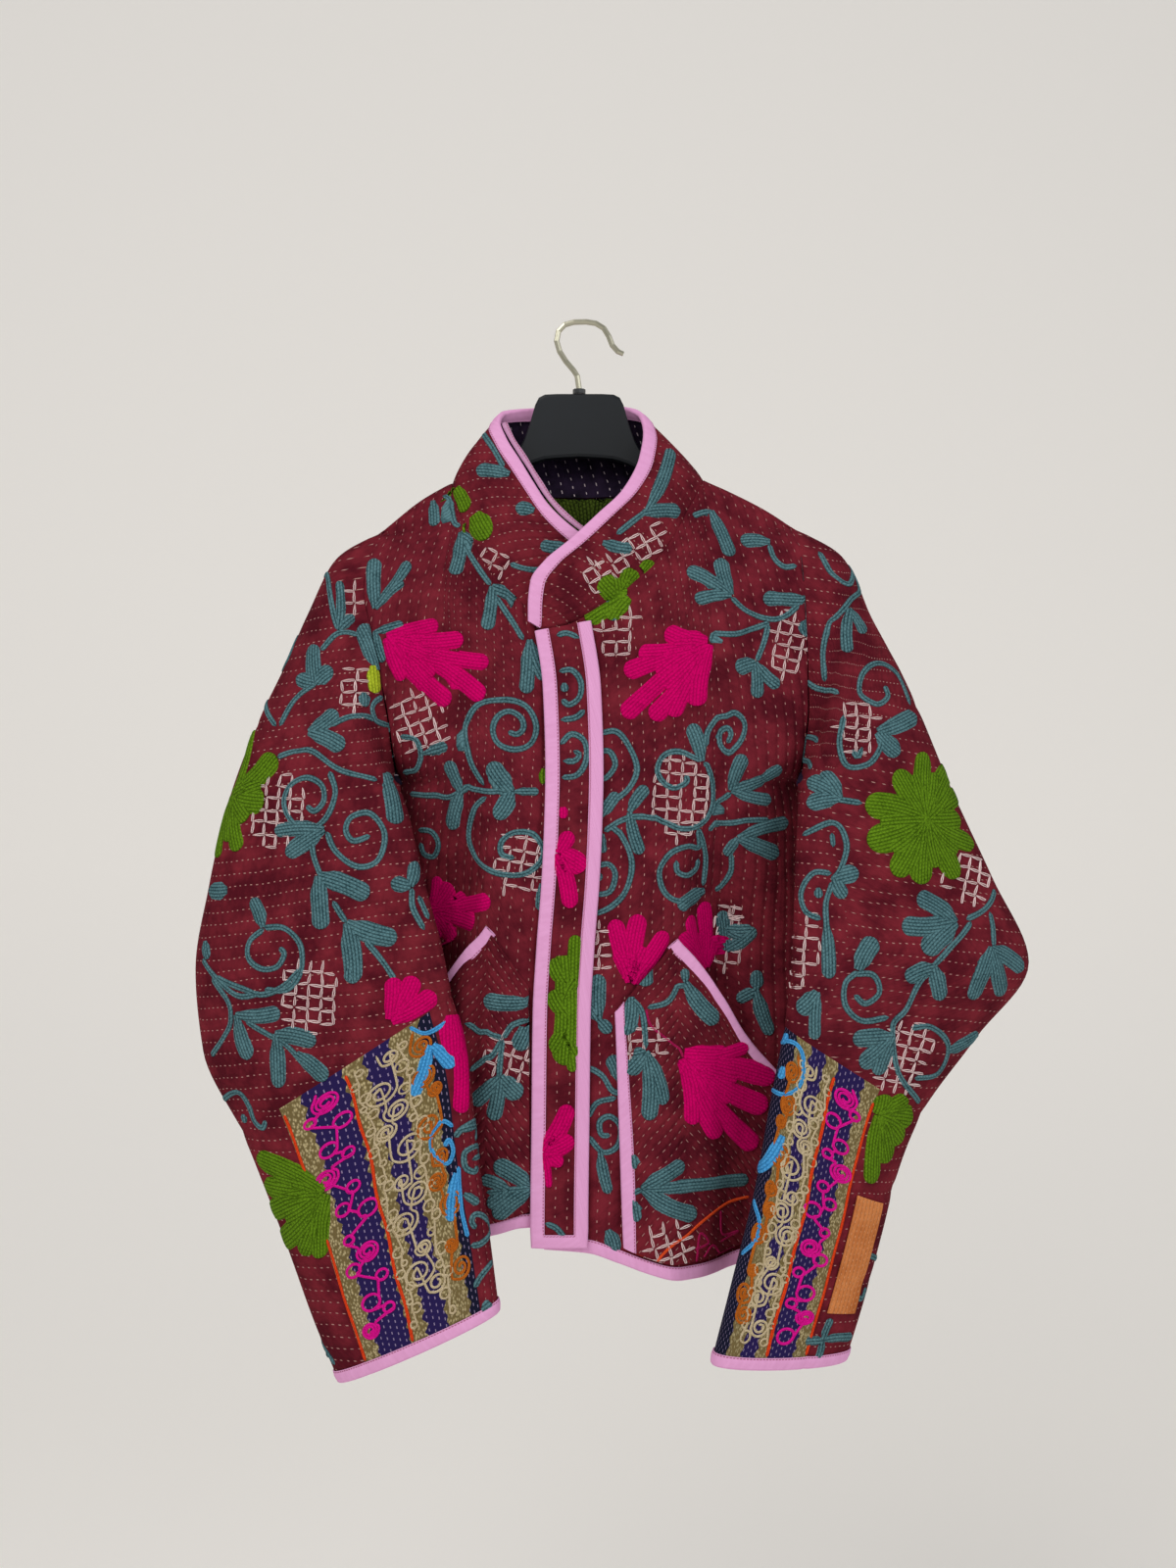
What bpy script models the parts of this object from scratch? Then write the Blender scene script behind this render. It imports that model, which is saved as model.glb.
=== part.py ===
"""Kantha jacket on its hanger: quilted cloth panels sewn at the edges.

World frame: origin under the arc of the hook, +X to the viewer's right,
+Y towards the back of the jacket, +Z up. Sizes below are millimetres, and
`down` is the distance below the origin. Left and right are the wearer's:
the left half has positive X.
"""
import math

import bpy
import numpy as np

MM = 0.001
WALL = 2.4
BINDING_WALL = 1.0
GAP = 0.3
CLASP_GAP = 0.4
UNDERSIDE = 2
SEAM = 0.2
STEP = 1e-3
SIGN = {"left": 1.0, "right": -1.0}

# Torso: down, distance of the armhole and side seam from the middle
SIDE_LINE = {
    "right": ((171, 170), (219, 178), (252, 172), (340, 153), (377, 145), (400, 146),
              (440, 156), (500, 170), (600, 190), (700, 206), (770, 214)),
    "left": ((167, 171), (234, 175), (312, 177), (377, 168), (400, 167), (440, 170),
             (500, 178), (600, 193), (700, 208), (770, 218)),
}
# distance from the middle, down
SHOULDER_LINE = {
    "right": ((0, 90), (60, 105), (109, 129), (134, 143), (170, 171), (200, 191)),
    "left": ((0, 90), (60, 105), (96, 127), (114, 135), (146, 151), (171, 167), (200, 186)),
}
SHOULDER_STOPS = {"right": (122, 134, 146, 158, 170), "left": (110, 125, 141, 156, 171)}
ARMHOLE = {"right": (171.0, 372.0), "left": (167.0, 372.0)}
ARMHOLE_FRONT = 34.0
ARMHOLE_BACK = 20.0
ARMHOLE_DROP = -6.0
ARMHOLE_CLEAR = 0.7
LENS_POWER = 0.8
# down, depth of the side seam
SIDE_SEAM = ((380, -6), (450, -2), (700, 4), (770, 5))
# down, depth of the chest in front of the shoulder line
CHEST = ((0, 50), (200, 56), (260, 60), (450, 61), (600, 59), (700, 56), (770, 54))
BACK_DEPTH = 27.0
ROLL = 12.0
FRONT_SLOPE = 170.0
BACK_SLOPE = 140.0
# share of the width from the middle, share of the chest's depth
UPPER_FRONT = ((0, 1), (0.45, 1), (0.6, 0.93), (0.8, 0.62), (0.92, 0.25), (1, 0))
LOWER_FRONT = ((0, 1), (0.36, 1), (0.48, 0.84), (0.6, 0.42), (0.72, 0.3), (0.86, 0.27),
               (0.95, 0.17), (1, 0))
BACK_SHARE = ((0, 1), (0.6, 1), (0.85, 0.86), (0.95, 0.5), (1, 0))
# down, hem by share of the width
HEM = {
    "right": ((0, 722), (0.2, 722), (0.3, 727), (0.42, 732), (0.6, 735), (0.8, 741), (1, 744)),
    "left": ((0, 739), (0.14, 742), (0.24, 751), (0.34, 759), (0.44, 764), (0.54, 763),
             (0.68, 757), (0.85, 750), (1, 746)),
}
BACK_HEM = 733.0
HEM_WAVE = 3.0
HEM_WAVES = 9.0
# down, X of the middle of the flap
FLAP_LINE = ((240, -20), (300, -11), (365, -9), (408, -10), (450, -12), (502, -16),
             (556, -19), (640, -20), (727, -21), (770, -21))
FRONT_EDGE = 12.0
UNDERLAP = 4.2
UNDERLAP_START = 28.0
UNDERLAP_REACH = 14.0
LOW_START = -30.0
LOW_REACH = 170.0
# side, share, down, amount forward, width in shares, length
FRONT_FOLDS = (
    ("left", 0.53, 560, 7.0, 0.05, 190.0),
    ("left", 0.66, 600, -4.0, 0.06, 160.0),
    ("left", 0.78, 640, 6.0, 0.06, 150.0),
    ("left", 0.40, 730, 5.0, 0.07, 70.0),
    ("left", 0.24, 740, -3.0, 0.06, 50.0),
    ("left", 0.80, 300, -5.0, 0.07, 60.0),
    ("right", 0.50, 600, 6.0, 0.05, 170.0),
    ("right", 0.66, 600, -4.0, 0.06, 160.0),
    ("right", 0.80, 650, 6.0, 0.06, 140.0),
    ("right", 0.80, 300, -5.0, 0.07, 60.0),
)
# share, down, amount backward, width in shares, length
BACK_FOLDS = (
    (-0.62, 640, 5.0, 0.12, 160.0),
    (-0.30, 690, 4.0, 0.10, 120.0),
    (0.05, 640, 4.0, 0.12, 180.0),
    (0.42, 680, 5.0, 0.12, 140.0),
    (0.70, 600, 4.0, 0.10, 150.0),
    (-0.45, 330, 3.0, 0.14, 90.0),
    (0.45, 330, 3.0, 0.14, 90.0),
)
LOWER_ROWS = 9

# Collar: edge X, edge Y, edge down, seam X, seam down, from the left end in front round the back
COLLAR = (
    (-43, -66, 249, -29.5, 256.5), (-43, -67, 236, -8, 247), (-41, -68, 217, 14, 234),
    (-30, -67, 201, 36, 216), (-10, -65, 184, 56, 197), (12, -60, 163, 72, 174),
    (32, -50, 142, 83, 152), (45, -34, 115, 91, 138), (49, -15, 90, 96, 127),
    (46, 0, 74, 91, 130), (36, 12, 67, 72, 133), (15, 21, 64, 34, 136),
    (-11, 24, 63, -8, 138), (-35, 20, 66, -50, 136), (-57, 12, 68.5, -88, 133),
    (-69, 3, 72, -105, 130), (-72, -7, 81, -109, 130), (-66, -18, 97, -103, 152),
    (-54, -27, 117, -92, 178), (-44, -34, 134, -78, 203), (-32, -41, 153, -60, 224),
    (-18, -45, 168, -40, 240), (-3, -48, 180, -18, 251), (13, -49, 190, 2, 258),
)
LEFT_NECK = 8
RIGHT_NECK = 16
COLLAR_SPLIT = 2
COLLAR_ROWS = (0.0, 0.2326, 0.4884, 0.7442)
COLLAR_CURVE = 4.0
COLLAR_FULL = 60.0
COLLAR_HIDDEN = 19.0
COLLAR_GAP = 0.85
NECK_CORNER = 0.9
BINDING_WIDTH = 9.0

# Flap over the front opening
FLAP_TOP = 261.0
FLAP_END = 737.0
FLAP_HALF = 20.5
FLAP_LIFT = 4.0
FLAP_LOW = 660.0
FLAP_LOW_REACH = 55.0
FLAP_LOW_LIFT = 1.8
FLAP_WALL = 2.0
FLAP_ROWS = 19

# Pockets: X, down of the upper edge; the mouth starts at the highest point
POCKET_TOP = {
    "left": ((24, 552), (32, 543), (50, 521), (70, 498), (88, 522), (106, 546), (125, 572),
             (145, 599), (165, 626), (185, 653)),
    "right": ((-45, 533), (-54, 521), (-65, 505), (-76, 488), (-90, 507), (-105, 527),
              (-122, 549), (-141, 574), (-160, 600), (-180, 626)),
}
POCKET_MOUTH = 3
POCKET_ROWS = 7
POCKET_SHIFT = {"left": 8.0, "right": 0.0}
POCKET_FLARE = 14.0
POCKET_LIFT = 2.4
POCKET_FULL = 4.0
MOUTH_SLANT = 1.68
MOUTH_GAP = 0.7
POCKET_WALL = 2.0
POCKET_HEM = 3.0
POCKET_SIDE = 0.955

# Sleeves: outer X, outer Y, outer down, inner X, inner Y, inner down, front depth, back depth
SLEEVE = {
    "right": (
        (-170, 0, 171, -146, -6, 372, 34, 20), (-202, -2, 191, -148, -18, 373, 37, 22),
        (-225, -6, 236, -149, -29, 374, 36, 23), (-244, -9, 280, -148, -39, 376, 33, 23),
        (-266, -14, 328, -146, -48, 381, 30, 23), (-289, -16, 392, -139, -59, 399, 29, 23),
        (-304, -18, 459, -131, -68, 430, 29, 24), (-314, -20, 523, -122, -74, 463, 30, 24),
        (-307, -24, 589, -112, -80, 498, 30, 24), (-275, -30, 652, -103, -84, 538, 29, 24),
        (-255, -34, 699, -90, -86, 590, 28, 24), (-235, -38, 749, -84, -88, 650, 27, 23),
        (-216, -42, 799, -75, -88, 714, 26, 22), (-196, -46, 845, -67, -86, 778, 25, 21),
    ),
    "left": (
        (171, 0, 167, 169, -6, 372, 34, 20), (208, -2, 190, 170, -18, 373, 37, 22),
        (227, -6, 228, 170, -29, 374.5, 36, 23), (246, -9, 266, 169, -39, 377, 33, 23),
        (267, -14, 312, 168, -48, 382, 30, 23), (295, -16, 380, 166, -59, 408, 29, 23),
        (327, -18, 450, 163, -68, 449, 29, 24), (356, -20, 518, 161, -74, 487, 30, 24),
        (313, -24, 578, 158, -80, 525, 30, 24), (268, -30, 638, 153, -84, 562, 29, 24),
        (248, -34, 685, 141, -86, 625, 28, 24), (235, -38, 732, 129, -88, 690, 27, 23),
        (221, -42, 781, 113, -88, 754, 26, 22), (206, -46, 827, 97, -86, 818, 25, 21),
    ),
}
ARMHOLE_BLEND = 3.0
CROSS_SEAM = 4.0
FOREARM_SEAM = 9.0
CUFF = 13.0
FOREARM_ROWS = 7
ROUND_STEP = 18.0
STRIP_TURN = (126.0, 234.0)
BORDER_TURN = {"right": (54.0, 198.0), "left": (72.0, 198.0)}
# side, section, turn in degrees, amount out, sections long, degrees wide
SLEEVE_FOLDS = (
    ("right", 6.5, 95, 4.0, 2.2, 22), ("right", 5.2, 60, -3.0, 1.6, 18),
    ("right", 8.0, 55, 4.0, 1.5, 18), ("right", 3.0, 100, 4.0, 1.2, 20),
    ("right", 7.5, 130, -3.0, 1.5, 16), ("right", 7.0, 270, 4.0, 2.0, 30),
    ("left", 6.0, 85, 4.0, 2.0, 22), ("left", 7.2, 55, 4.0, 1.0, 20),
    ("left", 5.0, 120, -3.0, 1.6, 16), ("left", 3.0, 100, 4.0, 1.2, 20),
    ("left", 8.2, 100, -3.0, 1.2, 20), ("left", 7.0, 270, 4.0, 2.0, 30),
)
CUFF_BINDING_WIDTH = 8.0
PATCH = {"first": 10.1, "last": 12.2, "turn_a": 22.0, "turn_b": 66.0, "lift": 0.8, "wall": 1.2}

# Hanger: X from the middle of the hanger, top, bottom, half thickness
HANGER_MIDDLE = -5.5
HANGER = (
    (0, 57, 109, 5), (18, 57, 110, 5), (28, 57.5, 111, 5), (33, 60, 112.5, 5),
    (36, 66, 113.5, 5), (40, 80, 115, 5), (45, 94, 117.5, 5), (50, 103, 120, 5),
    (56, 110, 124, 5), (75, 121.5, 137, 5), (100, 136, 150, 4.6), (125, 151, 163.5, 4.2),
    (150, 168, 179, 3.6), (165, 177.5, 189, 3.2), (178, 187.5, 196, 3), (184, 192.5, 198.5, 2.4),
)
# X, down of the wire's centre, radius
HOOK = (
    (-5.6, 56.5, 5.2), (-5.6, 53.0, 5.2), (-5.7, 52.5, 2.3), (-7.2, 42.0, 2.3),
    (-10.5, 37.0, 2.3), (-16.5, 30.0, 2.3), (-21.5, 22.0, 2.3), (-24.0, 13.5, 2.3),
    (-22.5, 5.5, 2.3), (-17.5, 0.2, 2.3), (-10.0, -2.0, 2.3), (0.0, -2.3, 2.3),
    (8.0, -1.0, 2.3), (14.5, 3.0, 2.3), (18.5, 9.5, 2.3), (21.5, 17.0, 2.3),
    (26.0, 22.0, 2.3), (30.5, 24.0, 2.0),
)


def column(table, index):
    """One column of a table as an array."""
    return np.array([row[index] for row in table], float)


def through(places, values, at):
    """Smooth curve through the values that never overshoots them."""
    places = np.asarray(places, float)
    values = np.asarray(values, float)
    widths = np.diff(places)
    slopes = np.diff(values) / widths
    tangents = np.zeros_like(values)
    tangents[0] = slopes[0]
    tangents[-1] = slopes[-1]
    product = slopes[:-1] * slopes[1:]
    total = slopes[:-1] + slopes[1:]
    total = np.where(product > 0, total, 1.0)
    tangents[1:-1] = np.where(product > 0, 2 * product / total, 0.0)
    at = np.clip(np.asarray(at, float), places[0], places[-1])
    cell = np.clip(np.searchsorted(places, at, side="right") - 1, 0, len(widths) - 1)
    t = (at - places[cell]) / widths[cell]
    rise = widths[cell]
    return (values[cell] * (1 + 2 * t) * (1 - t) ** 2
            + values[cell + 1] * t * t * (3 - 2 * t)
            + rise * tangents[cell] * t * (1 - t) ** 2
            - rise * tangents[cell + 1] * t * t * (1 - t))


def read(table, at, index=1):
    """Column `index` of a table against its first column."""
    return through(column(table, 0), column(table, index), at)


def ease(share):
    """Soft step from 0 to 1."""
    share = np.clip(share, 0.0, 1.0)
    return share * share * (3 - 2 * share)


def unit(vectors):
    """Vectors of length one."""
    length = np.linalg.norm(vectors, axis=-1, keepdims=True)
    return vectors / np.maximum(length, 1e-9)


def stack(x, y, down):
    """Points from X, Y and the distance below the origin."""
    x, y, down = np.broadcast_arrays(x, y, down)
    return np.stack([x, y, -down], axis=-1).astype(float)


def bell(value, middle, width):
    """Bell curve of height one."""
    return np.exp(-((value - middle) / width) ** 2)


def lens(share):
    """Fullness of an opening from one end (0) to the other (1)."""
    share = np.clip(share, 0.0, 1.0)
    return (2 * np.sqrt(share * (1 - share))) ** LENS_POWER


def side_x(side, down):
    """Distance of the armhole and side seam from the middle."""
    return read(SIDE_LINE[side], down)


def edge_depth(side, down, depth):
    """Depth of a panel's edge: the armhole, then the side seam under it."""
    top, end = ARMHOLE[side]
    share = (down - top) / (end - top)
    hole = ARMHOLE_DROP * np.clip(share, 0, 1) + depth * lens(share)
    return np.where(down <= end, hole, read(SIDE_SEAM, down))


def below_shoulder(side, x, down):
    """Distance below the shoulder line."""
    reach = np.clip(SIGN[side] * x, 0, 200)
    return np.maximum(down - read(SHOULDER_LINE[side], reach), 0.0)


def fall(drop, depth, slope):
    """Depth of cloth that rolls over the shoulder and falls away from it."""
    rest = 1 - np.minimum(drop / ROLL, 1.0)
    roll = ROLL * np.sqrt(1 - rest * rest)
    return roll + (depth - ROLL) * np.sin(math.pi / 2 * np.minimum(drop / slope, 1.0))


def middle_x(side, down):
    """X of a front's edge at the opening."""
    return read(FLAP_LINE, down) - SIGN[side] * FRONT_EDGE


def front_point(side, share, down):
    """Point on the outside of a front: share 0 at the opening, 1 at the side."""
    sign = SIGN[side]
    inner = middle_x(side, down)
    x = inner + share * (sign * side_x(side, down) - inner)
    chest = -fall(below_shoulder(side, x, down), read(CHEST, down), FRONT_SLOPE)
    edge = edge_depth(side, down, -ARMHOLE_FRONT)
    low = ease((down - ARMHOLE[side][1] - LOW_START) / LOW_REACH)
    full = read(UPPER_FRONT, share) * (1 - low) + read(LOWER_FRONT, share) * low
    y = edge + (chest - edge) * full
    for fold_side, at, level, amount, width, length in FRONT_FOLDS:
        if fold_side == side:
            y = y - amount * bell(share, at, width) * bell(down, level, length)
    if side == "right":
        under = x - (read(FLAP_LINE, down) - UNDERLAP_START)
        y = y + UNDERLAP * ease(under / UNDERLAP_REACH)
    return stack(x, y, down)


def back_point(share, down):
    """Point on the outside of the back: share -1 at the right side, 1 at the left."""
    points = []
    for side in ("right", "left"):
        x = share * side_x(side, down)
        full = fall(below_shoulder(side, x, down), BACK_DEPTH, BACK_SLOPE)
        edge = edge_depth(side, down, ARMHOLE_BACK)
        y = edge + (full - edge) * read(BACK_SHARE, np.abs(share))
        points.append(stack(x, y, down))
    result = np.where((share < 0)[..., None], points[0], points[1])
    for at, level, amount, width, length in BACK_FOLDS:
        result[..., 1] += amount * bell(share, at, width) * bell(down, level, length)
    return result


def sleeve_point(side, section, turn):
    """Point on a sleeve: turn 0 at the outer line, 90 in front, 180 at the inner line."""
    table = SLEEVE[side]
    steps = np.arange(len(table))
    values = [through(steps, column(table, index), section) for index in range(8)]
    outer_x, outer_y, outer_down, inner_x, inner_y, inner_down, front, rear = values
    radians = np.radians(turn)
    share = (1 - np.cos(radians)) / 2
    height = np.abs(np.sin(radians)) ** LENS_POWER
    forward = np.sin(radians) > 0
    x = outer_x + (inner_x - outer_x) * share
    down = outer_down + (inner_down - outer_down) * share
    y = outer_y + (inner_y - outer_y) * share
    y = y + np.where(forward, -front, rear) * height
    bow = 1 - ease(section / ARMHOLE_BLEND)
    top, end = ARMHOLE[side]
    hole = SIGN[side] * side_x(side, top + (end - top) * share)
    first, last = table[0][0], table[0][3]
    x = x + bow * (hole - first - (last - first) * share)
    for fold_side, at, angle, amount, length, width in SLEEVE_FOLDS:
        if fold_side == side:
            push = amount * bell(section, at, length) * bell(turn, angle, width)
            y = y + np.where(forward, -push, push) * height
    return stack(x, y, down)


def surface_normals(function, first, second, flip):
    """Outward normals of a surface from two small steps on it."""
    along = function(first + STEP, second) - function(first - STEP, second)
    across = function(first, second + STEP) - function(first, second - STEP)
    return unit(np.cross(along, across)) * flip


def grid_normals(points, flip):
    """Outward normals of a grid of points."""
    along = np.gradient(points, axis=0)
    across = np.gradient(points, axis=1)
    return unit(np.cross(along, across)) * flip


def quads_to_triangles(a, b, c, d):
    """Two triangles for each quad."""
    first = np.stack([a, b, c], axis=-1).reshape(-1, 3)
    second = np.stack([a, c, d], axis=-1).reshape(-1, 3)
    return np.vstack([first, second])


def grid_faces(ids, wrap):
    """Triangles over a grid of vertex numbers."""
    if wrap:
        ids = np.concatenate([ids, ids[:, :1]], axis=1)
    return quads_to_triangles(ids[:-1, :-1], ids[:-1, 1:], ids[1:, 1:], ids[1:, :-1])


def volume(points, faces):
    """Signed volume inside the faces."""
    a, b, c = (points[faces[:, index]] for index in range(3))
    return float(np.einsum("ij,ij->i", a, np.cross(b, c)).sum() / 6)


def put(name, slot, points, faces):
    """Adds one closed body to the scene, faces out."""
    points = np.asarray(points, float)
    faces = np.asarray(faces, int)
    if volume(points, faces) < 0:
        faces = faces[:, ::-1]
    mesh = bpy.data.meshes.new(name)
    mesh.from_pydata((points * MM).tolist(), [], faces.tolist())
    mesh.update()
    mesh.shade_smooth()
    mesh.set_sharp_from_angle(angle=math.radians(40))
    body = bpy.data.objects.new(name, mesh)
    body.data.materials.append(slot_material(name, slot))
    bpy.context.scene.collection.objects.link(body)
    return body


def slot_material(name, slot):
    """Plain material of one sub-part."""
    colour, roughness, metal = SLOTS[slot]
    material = bpy.data.materials.new(name)
    material.use_nodes = True
    shader = material.node_tree.nodes["Principled BSDF"]
    shader.inputs["Base Color"].default_value = (*colour, 1.0)
    shader.inputs["Roughness"].default_value = roughness
    shader.inputs["Metallic"].default_value = metal
    return material


SLOTS = {
    "cloth": ((0.16, 0.022, 0.034), 0.92, 0.0),
    "binding": ((0.75, 0.37, 0.64), 0.85, 0.0),
    "border": ((0.42, 0.30, 0.18), 0.92, 0.0),
    "patch": ((0.74, 0.22, 0.05), 0.9, 0.0),
    "plastic": ((0.006, 0.008, 0.011), 0.4, 0.0),
    "steel": ((0.42, 0.41, 0.34), 0.35, 1.0),
}


def shell(name, slot, outer, normals, wall=WALL, wrap=False):
    """Cloth wall: the outer points, and the same points moved in by the wall."""
    rows, columns = outer.shape[:2]
    inner = outer - wall * normals
    points = np.vstack([outer.reshape(-1, 3), inner.reshape(-1, 3)])
    ids = np.arange(rows * columns).reshape(rows, columns)
    other = ids + rows * columns
    faces = [grid_faces(ids, wrap), grid_faces(other, wrap)[:, ::-1]]
    ring = np.concatenate([ids, ids[:, :1]], axis=1) if wrap else ids
    ring_in = ring + rows * columns
    faces.append(quads_to_triangles(ring[0, 1:], ring[0, :-1], ring_in[0, :-1], ring_in[0, 1:]))
    faces.append(quads_to_triangles(ring[-1, :-1], ring[-1, 1:], ring_in[-1, 1:], ring_in[-1, :-1]))
    if not wrap:
        faces.append(quads_to_triangles(ids[:-1, 0], ids[1:, 0], other[1:, 0], other[:-1, 0]))
        faces.append(quads_to_triangles(ids[1:, -1], ids[:-1, -1], other[:-1, -1], other[1:, -1]))
    return put(name, slot, points, np.vstack(faces))


def clasp(name, edge, edge_normals, away, inside, inside_normals, wall, closed=False,
          near=CLASP_GAP):
    """Binding folded over an edge: a thin U round the wall that it covers."""
    far = near + BINDING_WALL
    corners = [
        inside + near * inside_normals,
        edge + near * edge_normals + near * away,
        edge - (wall + near) * edge_normals + near * away,
        inside - (wall + near) * inside_normals,
        inside - (wall + far) * inside_normals,
        edge - (wall + far) * edge_normals + far * away,
        edge + far * edge_normals + far * away,
        inside + far * inside_normals,
    ]
    grid = np.stack(corners, axis=1)
    count = len(grid)
    ids = np.arange(count * 8).reshape(count, 8)
    if closed:
        ids = np.vstack([ids, ids[:1]])
    ring = np.concatenate([ids, ids[:, :1]], axis=1)
    here, there = ring[:-1], ring[1:]
    faces = []
    for side in range(8):
        corners = (here[:, side], here[:, side + 1], there[:, side + 1], there[:, side])
        if side == UNDERSIDE:
            corners = corners[1:] + corners[:1]
        faces.append(quads_to_triangles(*corners))
    if not closed:
        for row, order in ((ids[0], -1), (ids[-1], 1)):
            for a, b, c, d in ((0, 1, 6, 7), (1, 2, 5, 6), (2, 3, 4, 5)):
                cap = np.array([[row[a], row[b], row[c]], [row[a], row[c], row[d]]])
                faces.append(cap[:, ::order])
    return put(name, "binding", grid.reshape(-1, 3), np.vstack(faces))


# Collar, and the neckline that the panels share with it
COLLAR_STEPS = np.arange(len(COLLAR))
COLLAR_FINE = np.linspace(0, len(COLLAR) - 1, (len(COLLAR) - 1) * COLLAR_SPLIT + 1)


def collar_column(index, at):
    """One column of the collar's table at a place along it."""
    return through(COLLAR_STEPS, column(COLLAR, index), at)


def neck_points(at):
    """Points of the neckline seam, on the surface of the panels."""
    x = collar_column(3, at)
    down = collar_column(4, at)
    back_share = np.where(x < 0, x / side_x("right", down), x / side_x("left", down))
    points = back_point(back_share, down)
    for side, first, last in (("left", -1.0, LEFT_NECK), ("right", RIGHT_NECK, 99.0)):
        inner = middle_x(side, down)
        share = (x - inner) / (SIGN[side] * side_x(side, down) - inner)
        front = front_point(side, share, down)
        here = (at >= first) & (at <= last)
        points[here] = front[here]
    return points


def collar_point(at, row):
    """Point on the collar: row 0 at the neckline, 1 at its free edge."""
    seam = neck_points(at)
    edge = stack(collar_column(0, at), collar_column(1, at), collar_column(2, at))
    flat = seam + (edge - seam) * row[..., None]
    out = unit(np.cross(np.gradient(flat, axis=0), edge - seam))
    belly = COLLAR_CURVE * np.sin(math.pi * np.clip(row, 0, 1))
    width = np.linalg.norm(edge - seam, axis=-1)
    hidden = 1 - ease((at - COLLAR_HIDDEN) / 2)
    return flat + out * (belly * hidden * np.minimum(width / COLLAR_FULL, 1))[..., None]


def build_collar():
    """Soft band and the pink binding over its free edge."""
    at = COLLAR_FINE
    edge_line = stack(collar_column(0, at), collar_column(1, at), collar_column(2, at))
    seam_line = neck_points(at)
    width = np.linalg.norm(edge_line - seam_line, axis=-1)
    fold = 1 - np.minimum(BINDING_WIDTH / width, 0.5)
    rows = np.stack([fold * share for share in COLLAR_ROWS] + [fold, np.ones_like(fold)], axis=1)
    rows[:, 0] = (1.5 + 3.0 * bell(at, LEFT_NECK, 0.8)) * SEAM / width
    places = np.repeat(at[:, None], rows.shape[1], axis=1)
    points = collar_point(places, rows)
    normals = grid_normals(points, 1.0)
    neck_normal = neck_seam_normals(at, normals[:, 0])
    normals[:, 0] = neck_normal
    shell("collar", "cloth", points, normals)
    away = unit(points[:, -1] - points[:, -2])
    clasp("collar_binding", points[:, -1], normals[:, -1], away,
          points[:, -2], normals[:, -2], WALL, near=COLLAR_GAP)
    return neck_normal


def panel_normal(at):
    """Normals of the panels along the neckline."""
    x = collar_column(3, at)
    down = collar_column(4, at) + 0.6
    share = np.where(x < 0, x / side_x("right", down), x / side_x("left", down))
    result = surface_normals(back_point, share, down, 1.0)
    result *= np.sign(result[:, 1:2])
    for side, first, last in (("left", -1.0, LEFT_NECK), ("right", RIGHT_NECK, 99.0)):
        inner = middle_x(side, down)
        share = (x - inner) / (SIGN[side] * side_x(side, down) - inner)
        front = surface_normals(lambda a, b: front_point(side, a, b), share, down, 1.0)
        front *= -np.sign(front[:, 1:2])
        here = (at >= first) & (at <= last)
        result[here] = front[here]
    return result


def neck_seam_normals(at, collar_normals):
    """Shared direction of the wall along the neckline seam."""
    return unit(panel_normal(at) + collar_normals)


def shoulder_normal(side, x):
    """Normal of the shoulder line, up and outward."""
    reach = np.abs(x)
    rise = read(SHOULDER_LINE[side], reach + 1) - read(SHOULDER_LINE[side], reach - 1)
    normal = np.stack([SIGN[side] * rise, np.zeros_like(rise), np.full_like(rise, 2.0)], axis=-1)
    return unit(normal)


def armhole_normal(side, share, face):
    """Shared direction of the wall at the armhole: face -1 in front, 1 behind."""
    reach = 0.6 + 0.2 * share
    sine = 2 * np.sqrt(np.clip(share * (1 - share), 0, 1))
    normal = np.stack([SIGN[side] * reach, face * sine, 1 - 2 * share], axis=-1)
    return unit(normal)


def row_shares(side, hem):
    """Shares of the height: at the sleeve's steps down the armhole, then even ones."""
    top, end = ARMHOLE[side]
    turns = np.radians(np.arange(0, 181, ROUND_STEP))
    levels = top + (end - top) * (1 - np.cos(turns)) / 2
    fold = hem - BINDING_WIDTH
    rest = np.linspace(end, fold, LOWER_ROWS + 1)[1:]
    return (np.append(levels, rest) - top) / (fold - top)


def level_rows(top, hem, shares):
    """Levels from the upper edge to the hem, with one where the binding ends."""
    fold = hem - BINDING_WIDTH
    main = top + (fold - top) * shares
    return np.vstack([main, hem[None, :]])


def dress_edge(side, normals, down, face, index):
    """Seam directions down the armhole and side seam of a panel."""
    top, end = ARMHOLE[side]
    share = (down - top) / (end - top)
    hole = armhole_normal(side, np.clip(share, 0, 1), face)
    straight = np.zeros_like(hole)
    straight[:, 0] = SIGN[side]
    settle = ease((down - end) / 30)[:, None]
    below = unit(hole * (1 - settle) + straight * settle)
    normals[:, index] = np.where((down <= end)[:, None], hole, below)


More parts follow.
